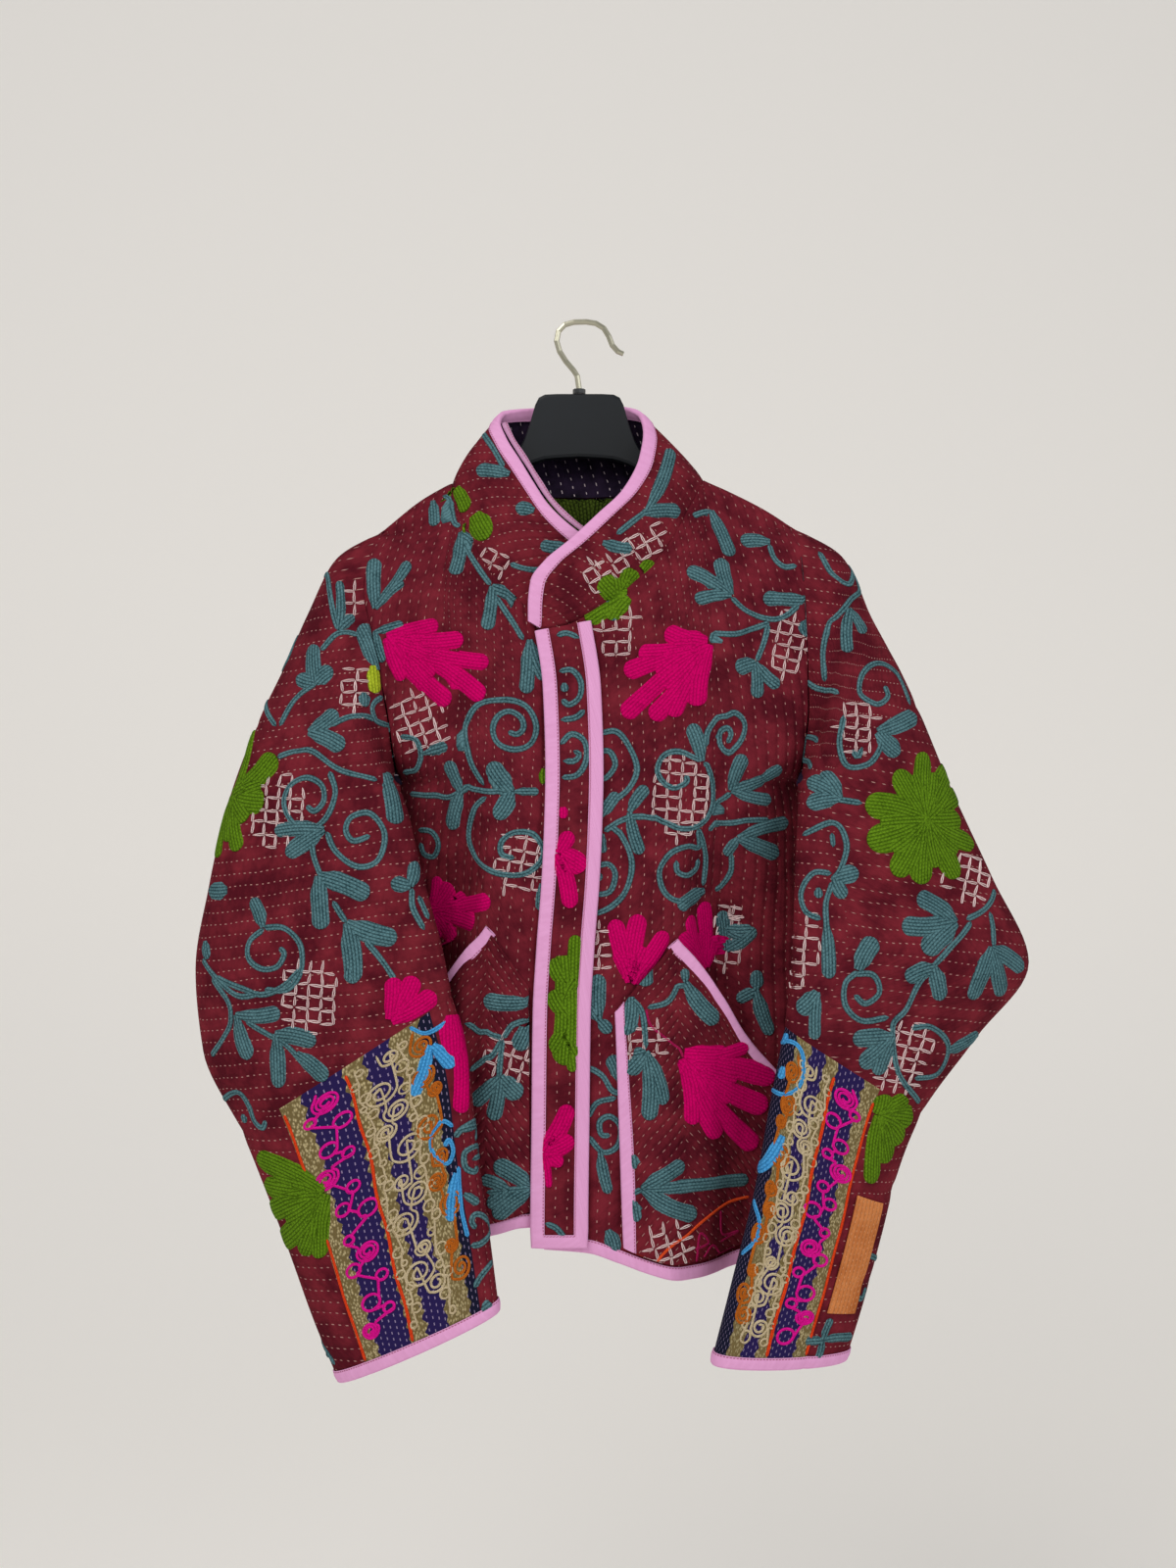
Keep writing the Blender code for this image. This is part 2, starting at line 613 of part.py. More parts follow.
def build_front(side, neck_normal):
    """One front panel and the binding of its hem."""
    sign = SIGN[side]
    here = COLLAR_FINE <= LEFT_NECK if side == "left" else COLLAR_FINE >= RIGHT_NECK
    at = COLLAR_FINE[here]
    normal = neck_normal[here]
    if side == "right":
        at = at[::-1]
        normal = normal[::-1]
    x = np.concatenate([collar_column(3, at), sign * np.array(SHOULDER_STOPS[side], float)])
    stops = np.array(SHOULDER_STOPS[side], float)
    down = np.concatenate([collar_column(4, at), read(SHOULDER_LINE[side], stops)])
    inner = middle_x(side, down)
    share = (x - inner) / (sign * side_x(side, down) - inner)
    share[-1] = 1.0
    if share[0] < 0.02:
        share[0] = 0.0
    hem = read(HEM[side], share)
    levels = level_rows(down, hem, row_shares(side, hem[-1])[:, None])
    shares = np.repeat(share[None, :], len(levels), axis=0)
    points = front_point(side, shares, levels)
    normals = surface_normals(lambda a, b: front_point(side, a, b), shares, levels, 1.0)
    normals *= -np.sign(normals[..., 1:2])
    count = len(at)
    normals[0, :count] = normal
    normals[0, count:] = shoulder_normal(side, x[count:])
    dress_edge(side, normals, levels[:, -1], -1.0, -1)
    points[0, :, 2] -= SEAM
    points[0, count - 1:, 1] -= SEAM
    points[:, -1, 1] -= SEAM
    shell("front_" + side, "cloth", points, normals)
    away = unit(points[-1] - points[-2])
    keep = slice(None, -1)
    clasp("hem_" + side + "_binding", points[-1][keep], normals[-1][keep], away[keep],
          points[-2][keep], normals[-2][keep], WALL)


def build_back(neck_normal):
    """The back panel and the binding of its hem."""
    here = (COLLAR_FINE >= LEFT_NECK) & (COLLAR_FINE <= RIGHT_NECK)
    at = COLLAR_FINE[here][::-1]
    normal = neck_normal[here][::-1]
    right = np.array(SHOULDER_STOPS["right"], float)[::-1]
    left = np.array(SHOULDER_STOPS["left"], float)
    x = np.concatenate([-right, collar_column(3, at), left])
    down = np.concatenate([read(SHOULDER_LINE["right"], right), collar_column(4, at),
                           read(SHOULDER_LINE["left"], left)])
    share = np.where(x < 0, x / side_x("right", down), x / side_x("left", down))
    share[0] = -1.0
    share[-1] = 1.0
    hem = BACK_HEM + HEM_WAVE * np.sin(HEM_WAVES * share)
    left_rows = row_shares("left", hem[-1])[:, None]
    right_rows = row_shares("right", hem[0])[:, None]
    toward = (1 + share[None, :]) / 2
    levels = level_rows(down, hem, left_rows * toward + right_rows * (1 - toward))
    shares = np.repeat(share[None, :], len(levels), axis=0)
    points = back_point(shares, levels)
    normals = surface_normals(back_point, shares, levels, 1.0)
    normals *= np.sign(normals[..., 1:2])
    start = len(right)
    stop = start + len(at)
    normals[0, start:stop] = normal
    normals[0, :start] = shoulder_normal("right", x[:start])
    normals[0, stop:] = shoulder_normal("left", x[stop:])
    dress_edge("right", normals, levels[:, 0], 1.0, 0)
    dress_edge("left", normals, levels[:, -1], 1.0, -1)
    points[0, :, 2] -= SEAM
    points[0, stop - 1, 2] -= NECK_CORNER
    points[0, :start + 1, 1] += SEAM
    points[0, stop - 1:, 1] += SEAM
    points[:, 0, 1] += SEAM
    points[:, -1, 1] += SEAM
    shell("back", "cloth", points, normals)
    away = unit(points[-1] - points[-2])
    keep = slice(1, -1)
    clasp("hem_back_binding", points[-1][keep], normals[-1][keep], away[keep],
          points[-2][keep], normals[-2][keep], WALL)


def build_flap():
    """Narrow strip over the front opening, and the binding round three sides of it."""
    across = np.array([-1.0, -1 + BINDING_WIDTH / FLAP_HALF, 0.0, 1 - BINDING_WIDTH / FLAP_HALF, 1.0])
    levels = np.linspace(FLAP_TOP, FLAP_END - BINDING_WIDTH, FLAP_ROWS)
    levels = np.append(levels, FLAP_END)
    down = np.repeat(levels[:, None], len(across), axis=1)
    x = read(FLAP_LINE, down) + across[None, :] * FLAP_HALF
    inner = middle_x("left", down)
    share = (x - inner) / (side_x("left", down) - inner)
    base = front_point("left", share, down)
    normals = surface_normals(lambda a, b: front_point("left", a, b), share, down, 1.0)
    normals *= -np.sign(normals[..., 1:2])
    lift = FLAP_LIFT + FLAP_LOW_LIFT * ease((down - FLAP_LOW) / FLAP_LOW_REACH)
    outer = base + lift[..., None] * normals
    normals = grid_normals(outer, 1.0)
    normals *= -np.sign(normals[..., 1:2])
    shell("flap", "cloth", outer, normals, wall=FLAP_WALL)
    left = [(row, 0) for row in range(FLAP_ROWS)]
    path = left + [(FLAP_ROWS, 0), (FLAP_ROWS, 2), (FLAP_ROWS, 4)]
    path += [(row, 4) for row in range(FLAP_ROWS - 1, -1, -1)]
    inside = [(row, 1) for row in range(FLAP_ROWS)] + [(FLAP_ROWS - 1, 1), (FLAP_ROWS - 1, 2)]
    inside += [(FLAP_ROWS - 1, 3)] + [(row, 3) for row in range(FLAP_ROWS - 1, -1, -1)]
    low = np.array([0.0, 0.0, -1.0])
    west = np.array([-1.0, 0.0, 0.0])
    east = np.array([1.0, 0.0, 0.0])
    away = [west] * FLAP_ROWS + [west + low, low, east + low] + [east] * FLAP_ROWS
    drop = FLAP_ROWS - 1
    keep = [index for index, place in enumerate(path) if place not in ((drop, 0), (drop, 4))][::-1]
    rows = np.array([path[index][0] for index in keep])
    columns = np.array([path[index][1] for index in keep])
    in_rows = np.array([inside[index][0] for index in keep])
    in_columns = np.array([inside[index][1] for index in keep])
    clasp("flap_binding", outer[rows, columns], normals[rows, columns],
          np.array([away[index] for index in keep]), outer[in_rows, in_columns],
          normals[in_rows, in_columns], FLAP_WALL)


def build_pocket(side):
    """Patch pocket with a slanted mouth and its binding."""
    sign = SIGN[side]
    top_x = column(POCKET_TOP[side], 0)
    top_down = column(POCKET_TOP[side], 1)
    inner = middle_x(side, top_down)
    share = (top_x - inner) / (sign * side_x(side, top_down) - inner)
    hem = read(HEM[side], share) - BINDING_WIDTH - POCKET_HEM
    fold = top_down + BINDING_WIDTH * MOUTH_SLANT
    levels = np.linspace(0, 1, POCKET_ROWS)[:, None]
    down = np.vstack([top_down[None, :], fold + (hem - fold) * levels])
    across = (top_x - top_x[0]) / (top_x[-1] - top_x[0])
    reach = (down - top_down[None, :]) / (hem - top_down)[None, :]
    lean = POCKET_SHIFT[side] * reach * (1 - across)[None, :]
    x = top_x[None, :] + lean + sign * POCKET_FLARE * ease(reach) * across[None, :]
    inner = middle_x(side, down)
    share = (x - inner) / (sign * side_x(side, down) - inner)
    share = np.minimum(share, POCKET_SIDE)
    base = front_point(side, share, down)
    normals = surface_normals(lambda a, b: front_point(side, a, b), share, down, 1.0)
    normals *= -np.sign(normals[..., 1:2])
    outer = base + (POCKET_LIFT + POCKET_WALL) * normals
    along = np.clip((top_x - top_x[POCKET_MOUTH]) / (top_x[-1] - top_x[POCKET_MOUTH]), 0, 1)
    line = outer[0, POCKET_MOUTH, 1] + (outer[0, -1, 1] - outer[0, POCKET_MOUTH, 1]) * along
    line = line - POCKET_FULL * np.sin(math.pi * along)
    bridge = np.maximum(outer[0, :, 1] - line, 0.0) * (along > 0)
    low = np.cos(math.pi / 2 * reach) ** 0.9
    outer[..., 1] -= bridge[None, :] * low
    normals = grid_normals(outer, 1.0)
    normals *= -np.sign(normals[..., 1:2])
    shell("pocket_" + side, "cloth", outer, normals, wall=POCKET_WALL)
    mouth = slice(None, POCKET_MOUTH - 1, -1)
    away = unit(outer[0, mouth] - outer[1, mouth]) * MOUTH_SLANT
    clasp("pocket_" + side + "_mouth_binding", outer[0, mouth], normals[0, mouth], away,
          outer[1, mouth], normals[1, mouth], POCKET_WALL, near=MOUTH_GAP)
    if side == "left":
        up = slice(None, None, -1)
        away = unit(outer[up, 0] - outer[up, 1])
        clasp("pocket_left_edge_binding", outer[up, 0], normals[up, 0], away,
              outer[up, 1], normals[up, 1], POCKET_WALL)


def sleeve_grid(side, sections, turns):
    """Points and normals of one piece of a sleeve."""
    turn = np.repeat(turns[None, :], len(sections), axis=0)
    section = sections if sections.ndim == 2 else np.repeat(sections[:, None], len(turns), axis=1)
    points = sleeve_point(side, section, turn)
    safe = np.clip(section, 2 * STEP, len(SLEEVE[side]) - 1 - 2 * STEP)
    wide = np.where(np.abs(np.sin(np.radians(turn))) < 0.02, turn + 2.0, turn)
    thin = np.where(np.abs(np.sin(np.radians(turn))) < 0.02, turn - 2.0, turn)
    one = surface_normals(lambda a, b: sleeve_point(side, a, b), safe, wide, 1.0)
    two = surface_normals(lambda a, b: sleeve_point(side, a, b), safe, thin, 1.0)
    normals = unit(one + two) * -SIGN[side]
    start = section[:, :1] <= 0.0
    share = (1 - np.cos(np.radians(turn))) / 2
    face = np.where(np.sin(np.radians(turn)) > 0, -1.0, 1.0)
    hole = armhole_normal(side, share, face)
    normals = np.where(start[..., None], hole, normals)
    clear = GAP * 1.8 + ARMHOLE_CLEAR * bell(turn, 150, 40)
    points[..., 0] += np.where(start, SIGN[side] * clear, 0.0)
    return points, normals


def seam_pull(side, section, turns):
    """Share of a section that keeps a seam open by half the gap."""
    ahead = sleeve_point(side, np.full_like(turns, section + 0.05), turns)
    behind = sleeve_point(side, np.full_like(turns, section - 0.05), turns)
    return 0.15 * SEAM / np.linalg.norm(ahead - behind, axis=-1).min()


def turn_pull(side, section, turn):
    """Degrees that keep a lengthwise seam open by half the gap."""
    sections = np.array([section])
    ahead = sleeve_point(side, sections, np.array([turn + 0.5]))
    behind = sleeve_point(side, sections, np.array([turn - 0.5]))
    return SEAM / np.linalg.norm(ahead - behind)


def round_turns(start, stop, pull):
    """Turns at the common steps from one lengthwise seam to another."""
    turns = np.arange(start, stop + 1, ROUND_STEP)
    turns[0] += pull
    turns[-1] -= pull
    return turns


def length(side, start, stop, count, first_pull, last_pull):
    """Sections from one cross seam to the next."""
    turns = np.arange(0, 360, ROUND_STEP)
    a = start + (seam_pull(side, start, turns) if first_pull else 0.0)
    b = stop - (seam_pull(side, stop, turns) if last_pull else 0.0)
    return np.linspace(a, b, count)


def forearm_sections(side, turns):
    """Sections of the forearm, with a row where the cuff's binding ends."""
    last = np.full_like(turns, CUFF)
    reach = sleeve_point(side, last, turns) - sleeve_point(side, last - 0.2, turns)
    fold = CUFF - 0.2 * CUFF_BINDING_WIDTH / np.linalg.norm(reach, axis=-1)
    start = FOREARM_SEAM + seam_pull(side, FOREARM_SEAM, np.arange(0, 360, ROUND_STEP))
    steps = np.linspace(0, 1, FOREARM_ROWS)[:, None]
    return np.vstack([start + (fold - start) * steps, last])


def build_sleeve(side):
    """Top, middle, forearm and border of one sleeve, with the bound cuff."""
    whole = np.arange(0, 360, ROUND_STEP)
    top = length(side, 0.0, CROSS_SEAM, 7, False, True)
    middle = length(side, CROSS_SEAM, FOREARM_SEAM, 10, True, True)
    if side == "right":
        shell("sleeve_right_top", "cloth", *sleeve_grid(side, top, whole), wrap=True)
        shell("sleeve_right_middle", "cloth", *sleeve_grid(side, middle, whole), wrap=True)
    else:
        pull = turn_pull(side, 6.0, STRIP_TURN[0]) * 1.6
        around = round_turns(STRIP_TURN[1] - 360, STRIP_TURN[0], pull)
        inner = round_turns(*STRIP_TURN, pull)
        shell("sleeve_left_top", "cloth", *sleeve_grid(side, top, around))
        shell("sleeve_left_middle", "cloth", *sleeve_grid(side, middle, around))
        both = np.concatenate([top[:-1], [CROSS_SEAM], middle[1:]])
        shell("sleeve_left_strip", "cloth", *sleeve_grid(side, both, inner))
    start, stop = BORDER_TURN[side]
    pull = turn_pull(side, 11.0, start) * 1.3
    front = round_turns(start, stop, pull)
    rest = round_turns(stop, 360 + start, pull)
    points, normals = sleeve_grid(side, forearm_sections(side, front), front)
    shell("border_" + side, "border", points, normals)
    more, more_normals = sleeve_grid(side, forearm_sections(side, rest), rest)
    shell("forearm_" + side, "cloth", more, more_normals)
    ring = np.concatenate([points, more], axis=1)
    ring_normals = np.concatenate([normals, more_normals], axis=1)
    away = unit(ring[-1] - ring[-2])
    clasp("cuff_" + side + "_binding", ring[-1], ring_normals[-1], away,
          ring[-2], ring_normals[-2], WALL, closed=True)


def build_patch():
    """Small patch on the outer side of the left forearm."""
    sections = np.linspace(PATCH["first"], PATCH["last"], 7)
    turns = np.linspace(PATCH["turn_a"], PATCH["turn_b"], 5)
    points, normals = sleeve_grid("left", sections, turns)
    outer = points + (PATCH["lift"] + PATCH["wall"]) * normals
    shell("forearm_patch", "patch", outer, normals, wall=PATCH["wall"])


def loft(name, slot, rings):
    """Closed body through rings with the same number of points."""
    rings = np.asarray(rings, float)
    count, around = rings.shape[:2]
    points = np.vstack([rings.reshape(-1, 3), rings[0].mean(axis=0), rings[-1].mean(axis=0)])
    ids = np.arange(count * around).reshape(count, around)
    faces = [grid_faces(ids, True)]
    start = np.full(around, count * around)
    finish = start + 1
    faces.append(np.stack([start, np.roll(ids[0], -1), ids[0]], axis=-1))
    faces.append(np.stack([finish, ids[-1], np.roll(ids[-1], -1)], axis=-1))
    return put(name, slot, points, np.vstack(faces))


def build_hanger():
    """Neck plate and two sloping arms, and the wire hook."""
    table = [(-row[0],) + row[1:] for row in HANGER[:0:-1]] + list(HANGER)
    rings = []
    for x, top, bottom, half in table:
        soft = min(3.0, half * 0.6)
        tall = (bottom - top) / 2
        corners = []
        for y_sign, z_sign, start in ((1, 1, 0), (-1, 1, 90), (-1, -1, 180), (1, -1, 270)):
            for angle in (start, start + 45, start + 90):
                y = y_sign * (half - soft) + soft * math.cos(math.radians(angle))
                z = z_sign * (tall - soft) + soft * math.sin(math.radians(angle))
                corners.append((HANGER_MIDDLE + x, y, z - (top + bottom) / 2))
        rings.append(corners)
    loft("hanger_body", "plastic", rings)
    x = column(HOOK, 0)
    z = -column(HOOK, 1)
    radius = column(HOOK, 2)
    direction = unit(np.stack([np.gradient(x), np.gradient(z)], axis=-1))
    direction[:3] = (0.0, 1.0)
    rings = []
    for index in range(len(x)):
        ring = []
        for angle in range(0, 360, 45):
            wide = radius[index] * math.cos(math.radians(angle))
            deep = radius[index] * math.sin(math.radians(angle))
            ring.append((x[index] - direction[index, 1] * wide, deep,
                         z[index] + direction[index, 0] * wide))
        rings.append(ring)
    loft("hanger_hook", "steel", rings)


def clear_scene():
    """Takes the start-up objects away."""
    for item in list(bpy.data.objects):
        bpy.data.objects.remove(item, do_unlink=True)


clear_scene()
NECK_NORMAL = build_collar()
build_front("left", NECK_NORMAL)
build_front("right", NECK_NORMAL)
build_back(NECK_NORMAL)
build_flap()
build_pocket("right")
build_pocket("left")
build_sleeve("right")
build_sleeve("left")
build_patch()
build_hanger()
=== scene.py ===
"""Quilted kantha jacket on its hanger: fine cloth, wool embroidery, pink bindings and the hanger.

Millimetres are used up to the mesh, in the frame of the CAD model: +X to the viewer's right,
+Y to the back of the jacket, +Z up, `down` the distance below the hook. Left and right are the wearer's.
"""
import math
from functools import partial

import bpy
import numpy as np
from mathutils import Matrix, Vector


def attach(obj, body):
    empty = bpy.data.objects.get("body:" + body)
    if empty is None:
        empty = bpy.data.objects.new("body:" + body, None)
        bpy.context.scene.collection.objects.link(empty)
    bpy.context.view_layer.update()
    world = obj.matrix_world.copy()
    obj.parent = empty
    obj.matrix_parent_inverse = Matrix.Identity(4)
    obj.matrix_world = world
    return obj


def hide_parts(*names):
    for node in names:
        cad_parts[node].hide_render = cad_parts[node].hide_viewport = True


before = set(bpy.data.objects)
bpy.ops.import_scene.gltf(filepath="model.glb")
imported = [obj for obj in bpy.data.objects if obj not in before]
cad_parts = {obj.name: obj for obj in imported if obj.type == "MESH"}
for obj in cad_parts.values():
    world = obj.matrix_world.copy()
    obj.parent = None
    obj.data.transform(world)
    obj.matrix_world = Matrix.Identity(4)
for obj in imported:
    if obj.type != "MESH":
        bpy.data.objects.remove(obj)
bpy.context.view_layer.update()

# Front panels
# Two quilted panels: layers of old soft cotton held together by rows of pale running stitches. The left
# one laps over the right. They roll over the shoulders, fall flat and turn back to the side seams.
MM = 0.001
WALL = 2.4
SIGN = {"left": 1.0, "right": -1.0}
SIDE_LINE = {
    "right": ((171, 170), (219, 178), (252, 172), (340, 153), (377, 145), (400, 146),
              (440, 156), (500, 170), (600, 190), (700, 206), (770, 214)),
    "left": ((167, 171), (234, 175), (312, 177), (377, 168), (400, 167), (440, 170),
             (500, 178), (600, 193), (700, 208), (770, 218)),
}
SHOULDER_LINE = {
    "right": ((0, 90), (60, 105), (109, 129), (134, 143), (170, 171), (200, 191)),
    "left": ((0, 90), (60, 105), (96, 127), (114, 135), (146, 151), (171, 167), (200, 186)),
}
SHOULDER_END = {"right": 170.0, "left": 171.0}
ARMHOLE = {"right": (171.0, 372.0), "left": (167.0, 372.0)}
ARMHOLE_FRONT = 34.0
ARMHOLE_BACK = 20.0
ARMHOLE_DROP = -6.0
LENS_POWER = 0.8
UNDERARM = {"left": (7.5, 402, 50), "right": (8.0, 384, 44)}
SIDE_SEAM = ((380, -6), (450, -2), (700, 4), (770, 5))
CHEST = ((0, 50), (200, 56), (260, 60), (450, 61), (600, 59), (700, 56), (770, 54))
ROLL = 12.0
FRONT_SLOPE = 170.0
UPPER_FRONT = ((0, 1), (0.45, 1), (0.6, 0.93), (0.8, 0.62), (0.92, 0.25), (1, 0))
LOWER_FRONT = ((0, 1), (0.36, 1), (0.48, 0.84), (0.6, 0.42), (0.72, 0.3), (0.86, 0.27),
               (0.95, 0.17), (1, 0))
HEM = {
    "right": ((0, 722), (0.2, 722), (0.3, 727), (0.42, 732), (0.6, 735), (0.8, 741), (1, 744)),
    "left": ((0, 739), (0.14, 742), (0.24, 751), (0.34, 759), (0.44, 764), (0.54, 763),
             (0.68, 757), (0.85, 750), (1, 746)),
}
FLAP_LINE = ((240, -20), (300, -11), (365, -9), (408, -10), (450, -12), (502, -16),
             (556, -19), (640, -20), (727, -21), (770, -21))
FRONT_EDGE = 12.0
UNDERLAP = 4.2
UNDERLAP_START = 28.0
UNDERLAP_REACH = 14.0
LOW_START = -30.0
LOW_REACH = 170.0
# side, share of the width, down, amount forward, width in shares, length
FRONT_FOLDS = (
    ("left", 0.53, 560, 7.0, 0.05, 190.0), ("left", 0.66, 600, -4.0, 0.06, 160.0),
    ("left", 0.78, 640, 6.0, 0.06, 150.0), ("left", 0.40, 730, 5.0, 0.07, 70.0),
    ("left", 0.24, 740, -3.0, 0.06, 50.0), ("left", 0.80, 300, -5.0, 0.07, 60.0),
    ("right", 0.50, 600, 6.0, 0.05, 170.0), ("right", 0.66, 600, -4.0, 0.06, 160.0),
    ("right", 0.80, 650, 6.0, 0.06, 140.0), ("right", 0.80, 300, -5.0, 0.07, 60.0),
)
# neckline seam, from the left end in front round the back: X, down
NECKLINE = (
    (-29.5, 256.5), (-8, 247), (14, 234), (36, 216), (56, 197), (72, 174), (83, 152), (91, 138),
    (96, 127), (91, 130), (72, 133), (34, 136), (-8, 138), (-50, 136), (-88, 133), (-105, 130),
    (-109, 130), (-103, 152), (-92, 178), (-78, 203), (-60, 224), (-40, 240), (-18, 251), (2, 258),
)
LEFT_NECK = 8
RIGHT_NECK = 16
# places of a panel's columns on the neckline: first row, last row, number; then those on a shoulder
NECK_COLUMNS = {"left": (0, LEFT_NECK, 53), "right": (len(NECKLINE) - 1, RIGHT_NECK, 46)}
SHOULDER_COLUMNS = 21
BINDING_WIDTH = 9.0
ROW = 3.9          # spacing of the mesh on a panel
CREASE_FADE = 0.35     # share of a crease's length over which it starts and ends
CREASE_START = 0.1     # depth at its very end
CREASE_SIDE = (3, 0.6)     # how fast a crease fades where the cloth turns away from its side, and its start
PINCH = ((0, 0.9), (1, 0.45), (2, 0.15))       # rows from a seam, and how far they sink
SHARP = math.radians(55)       # edges that turn more than this are drawn sharp
HOLE_TURNS = np.radians(np.arange(0, 181, 3))      # the sleeve's own steps down an armhole
# where each piece starts on its cloth, along and across: no two have the same rows of stitches
CLOTH_START = {
    "front_left": (200.0, 400.0), "front_right": (200.0, 0.0), "back": (200.0, 900.0),
    "collar": (1300.0, 40.0), "flap": (250.0, 612.0), "pocket_left": (100.0, 2000.0),
    "pocket_right": (100.0, 2400.0), "patch": (4000.0, 0.0),
}
PANELS = {}


def column(table, index):
    """One column of a table as an array."""
    return np.array([row[index] for row in table], float)


def hermite(values, tangents, cell, t, wide=1.0):
    """Cubic from values[cell] to the next with the given tangents, at the share t of a cell."""
    return (values[cell] * (1 + 2 * t) * (1 - t) ** 2 + values[cell + 1] * t * t * (3 - 2 * t)
            + wide * tangents[cell] * t * (1 - t) ** 2 - wide * tangents[cell + 1] * t * t * (1 - t))


def through(places, values, at):
    """Monotone cubic curve through the values: Hermite pieces with harmonic mean slopes."""
    places = np.asarray(places, float)
    values = np.asarray(values, float)
    widths = np.diff(places)
    slopes = np.diff(values) / widths
    tangents = np.zeros_like(values)
    tangents[0] = slopes[0]
    tangents[-1] = slopes[-1]
    product = slopes[:-1] * slopes[1:]
    total = np.where(product > 0, slopes[:-1] + slopes[1:], 1.0)
    tangents[1:-1] = np.where(product > 0, 2 * product / total, 0.0)
    at = np.clip(np.asarray(at, float), places[0], places[-1])
    cell = np.clip(np.searchsorted(places, at, side="right") - 1, 0, len(widths) - 1)
    return hermite(values, tangents, cell, (at - places[cell]) / widths[cell], widths[cell])


def rows_at(table, at):
    """Every column of a table at fractional row numbers."""
    steps = np.arange(len(table))
    return [through(steps, column(table, index), at) for index in range(len(table[0]))]


def read(table, at):
    """Second column of a table against its first."""
    return through(column(table, 0), column(table, 1), at)


def ease(share):
    """Soft step from 0 to 1."""
    share = np.clip(share, 0.0, 1.0)
    return share * share * (3 - 2 * share)


def unit(vectors):
    """Vectors of length one."""
    return vectors / np.maximum(np.linalg.norm(vectors, axis=-1, keepdims=True), 1e-9)


def stack(x, y, down):
    """Points from X, Y and the distance below the hook."""
    x, y, down = np.broadcast_arrays(x, y, down)
    return np.stack([x, y, -down], axis=-1).astype(float)


def bell(value, middle, width):
    """Bell curve of height one."""
    return np.exp(-((value - middle) / width) ** 2)


def lens(share):
    """Fullness of an armhole from its top (0) to the underarm (1)."""
    share = np.clip(share, 0.0, 1.0)
    return (2 * np.sqrt(share * (1 - share))) ** LENS_POWER


def side_x(side, down):
    """Distance of the armhole and side seam from the middle, fuller just under the arm."""
    amount, level, length = UNDERARM[side]
    return read(SIDE_LINE[side], down) + amount * bell(down, level, length)


def edge_depth(side, down, depth):
    """Depth of a panel's edge: a lens round the armhole, then the side seam under it."""
    top, end = ARMHOLE[side]
    share = (down - top) / (end - top)
    hole = ARMHOLE_DROP * np.clip(share, 0, 1) + depth * lens(share)
    return np.where(down <= end, hole, read(SIDE_SEAM, down))


def below_shoulder(side, x, down):
    """Distance below the shoulder line."""
    reach = np.clip(SIGN[side] * x, 0, 200)
    return np.maximum(down - read(SHOULDER_LINE[side], reach), 0.0)


def fall(drop, depth, slope):
    """Depth of cloth that rolls over the shoulder on a quarter circle and then swings out on a sine."""
    rest = 1 - np.minimum(drop / ROLL, 1.0)
    roll = ROLL * np.sqrt(1 - rest * rest)
    return roll + (depth - ROLL) * np.sin(math.pi / 2 * np.minimum(drop / slope, 1.0))


def middle_x(side, down):
    """X of a front's edge at the opening."""
    return read(FLAP_LINE, down) - SIGN[side] * FRONT_EDGE


def front_share(side, x, down):
    """Share of a front's width at X: 0 at the opening, 1 at the side."""
    inner = middle_x(side, down)
    return (x - inner) / (SIGN[side] * side_x(side, down) - inner)


def front_point(side, share, down):
    """Outside of a front: chest depth times a profile across, with bell-shaped vertical folds."""
    sign = SIGN[side]
    inner = middle_x(side, down)
    x = inner + share * (sign * side_x(side, down) - inner)
    chest = -fall(below_shoulder(side, x, down), read(CHEST, down), FRONT_SLOPE)
    edge = edge_depth(side, down, -ARMHOLE_FRONT)
    low = ease((down - ARMHOLE[side][1] - LOW_START) / LOW_REACH)
    full = read(UPPER_FRONT, share) * (1 - low) + read(LOWER_FRONT, share) * low
    y = edge + (chest - edge) * full
    for fold_side, at, level, amount, width, length in FRONT_FOLDS:
        if fold_side == side:
            y = y - amount * bell(share, at, width) * bell(down, level, length)
    if side == "right":
        under = x - (read(FLAP_LINE, down) - UNDERLAP_START)
        y = y + UNDERLAP * ease(under / UNDERLAP_REACH)
    return stack(x, y, down)


def grid_normals(points, flip):
    """Outward normals of a grid of points: cross product of its two differences."""
    along = np.gradient(points, axis=0)
    across = np.gradient(points, axis=1)
    return unit(np.cross(along, across)) * flip


def panel_levels(side, top, hem):
    """Levels of a panel: the sleeve's own steps down the armhole, even ones below, three in the hem."""
    start, end = ARMHOLE[side]
    fold = hem - BINDING_WIDTH
    hole = start + (end - start) * (1 - np.cos(HOLE_TURNS)) / 2
    rest = np.linspace(end, fold[-1], int((fold[-1] - end) / ROW))[1:]
    shares = (np.append(hole, rest) - start) / (fold[-1] - start)
    main = top + (fold - top) * shares[:, None]
    return np.vstack([main, fold + BINDING_WIDTH / 2, hem])


def pinch_edges(points, normals, top=True, bottom=False, first=True, last=True):
    """Rounds a panel in at its seams: the outermost rows sink a little under the surface."""
    for index, depth in PINCH:
        if top:
            points[index] -= depth * normals[index]
        if bottom:
            points[-1 - index] -= depth * normals[-1 - index]
        if first:
            points[:, index] -= depth * normals[:, index]
        if last:
            points[:, -1 - index] -= depth * normals[:, -1 - index]


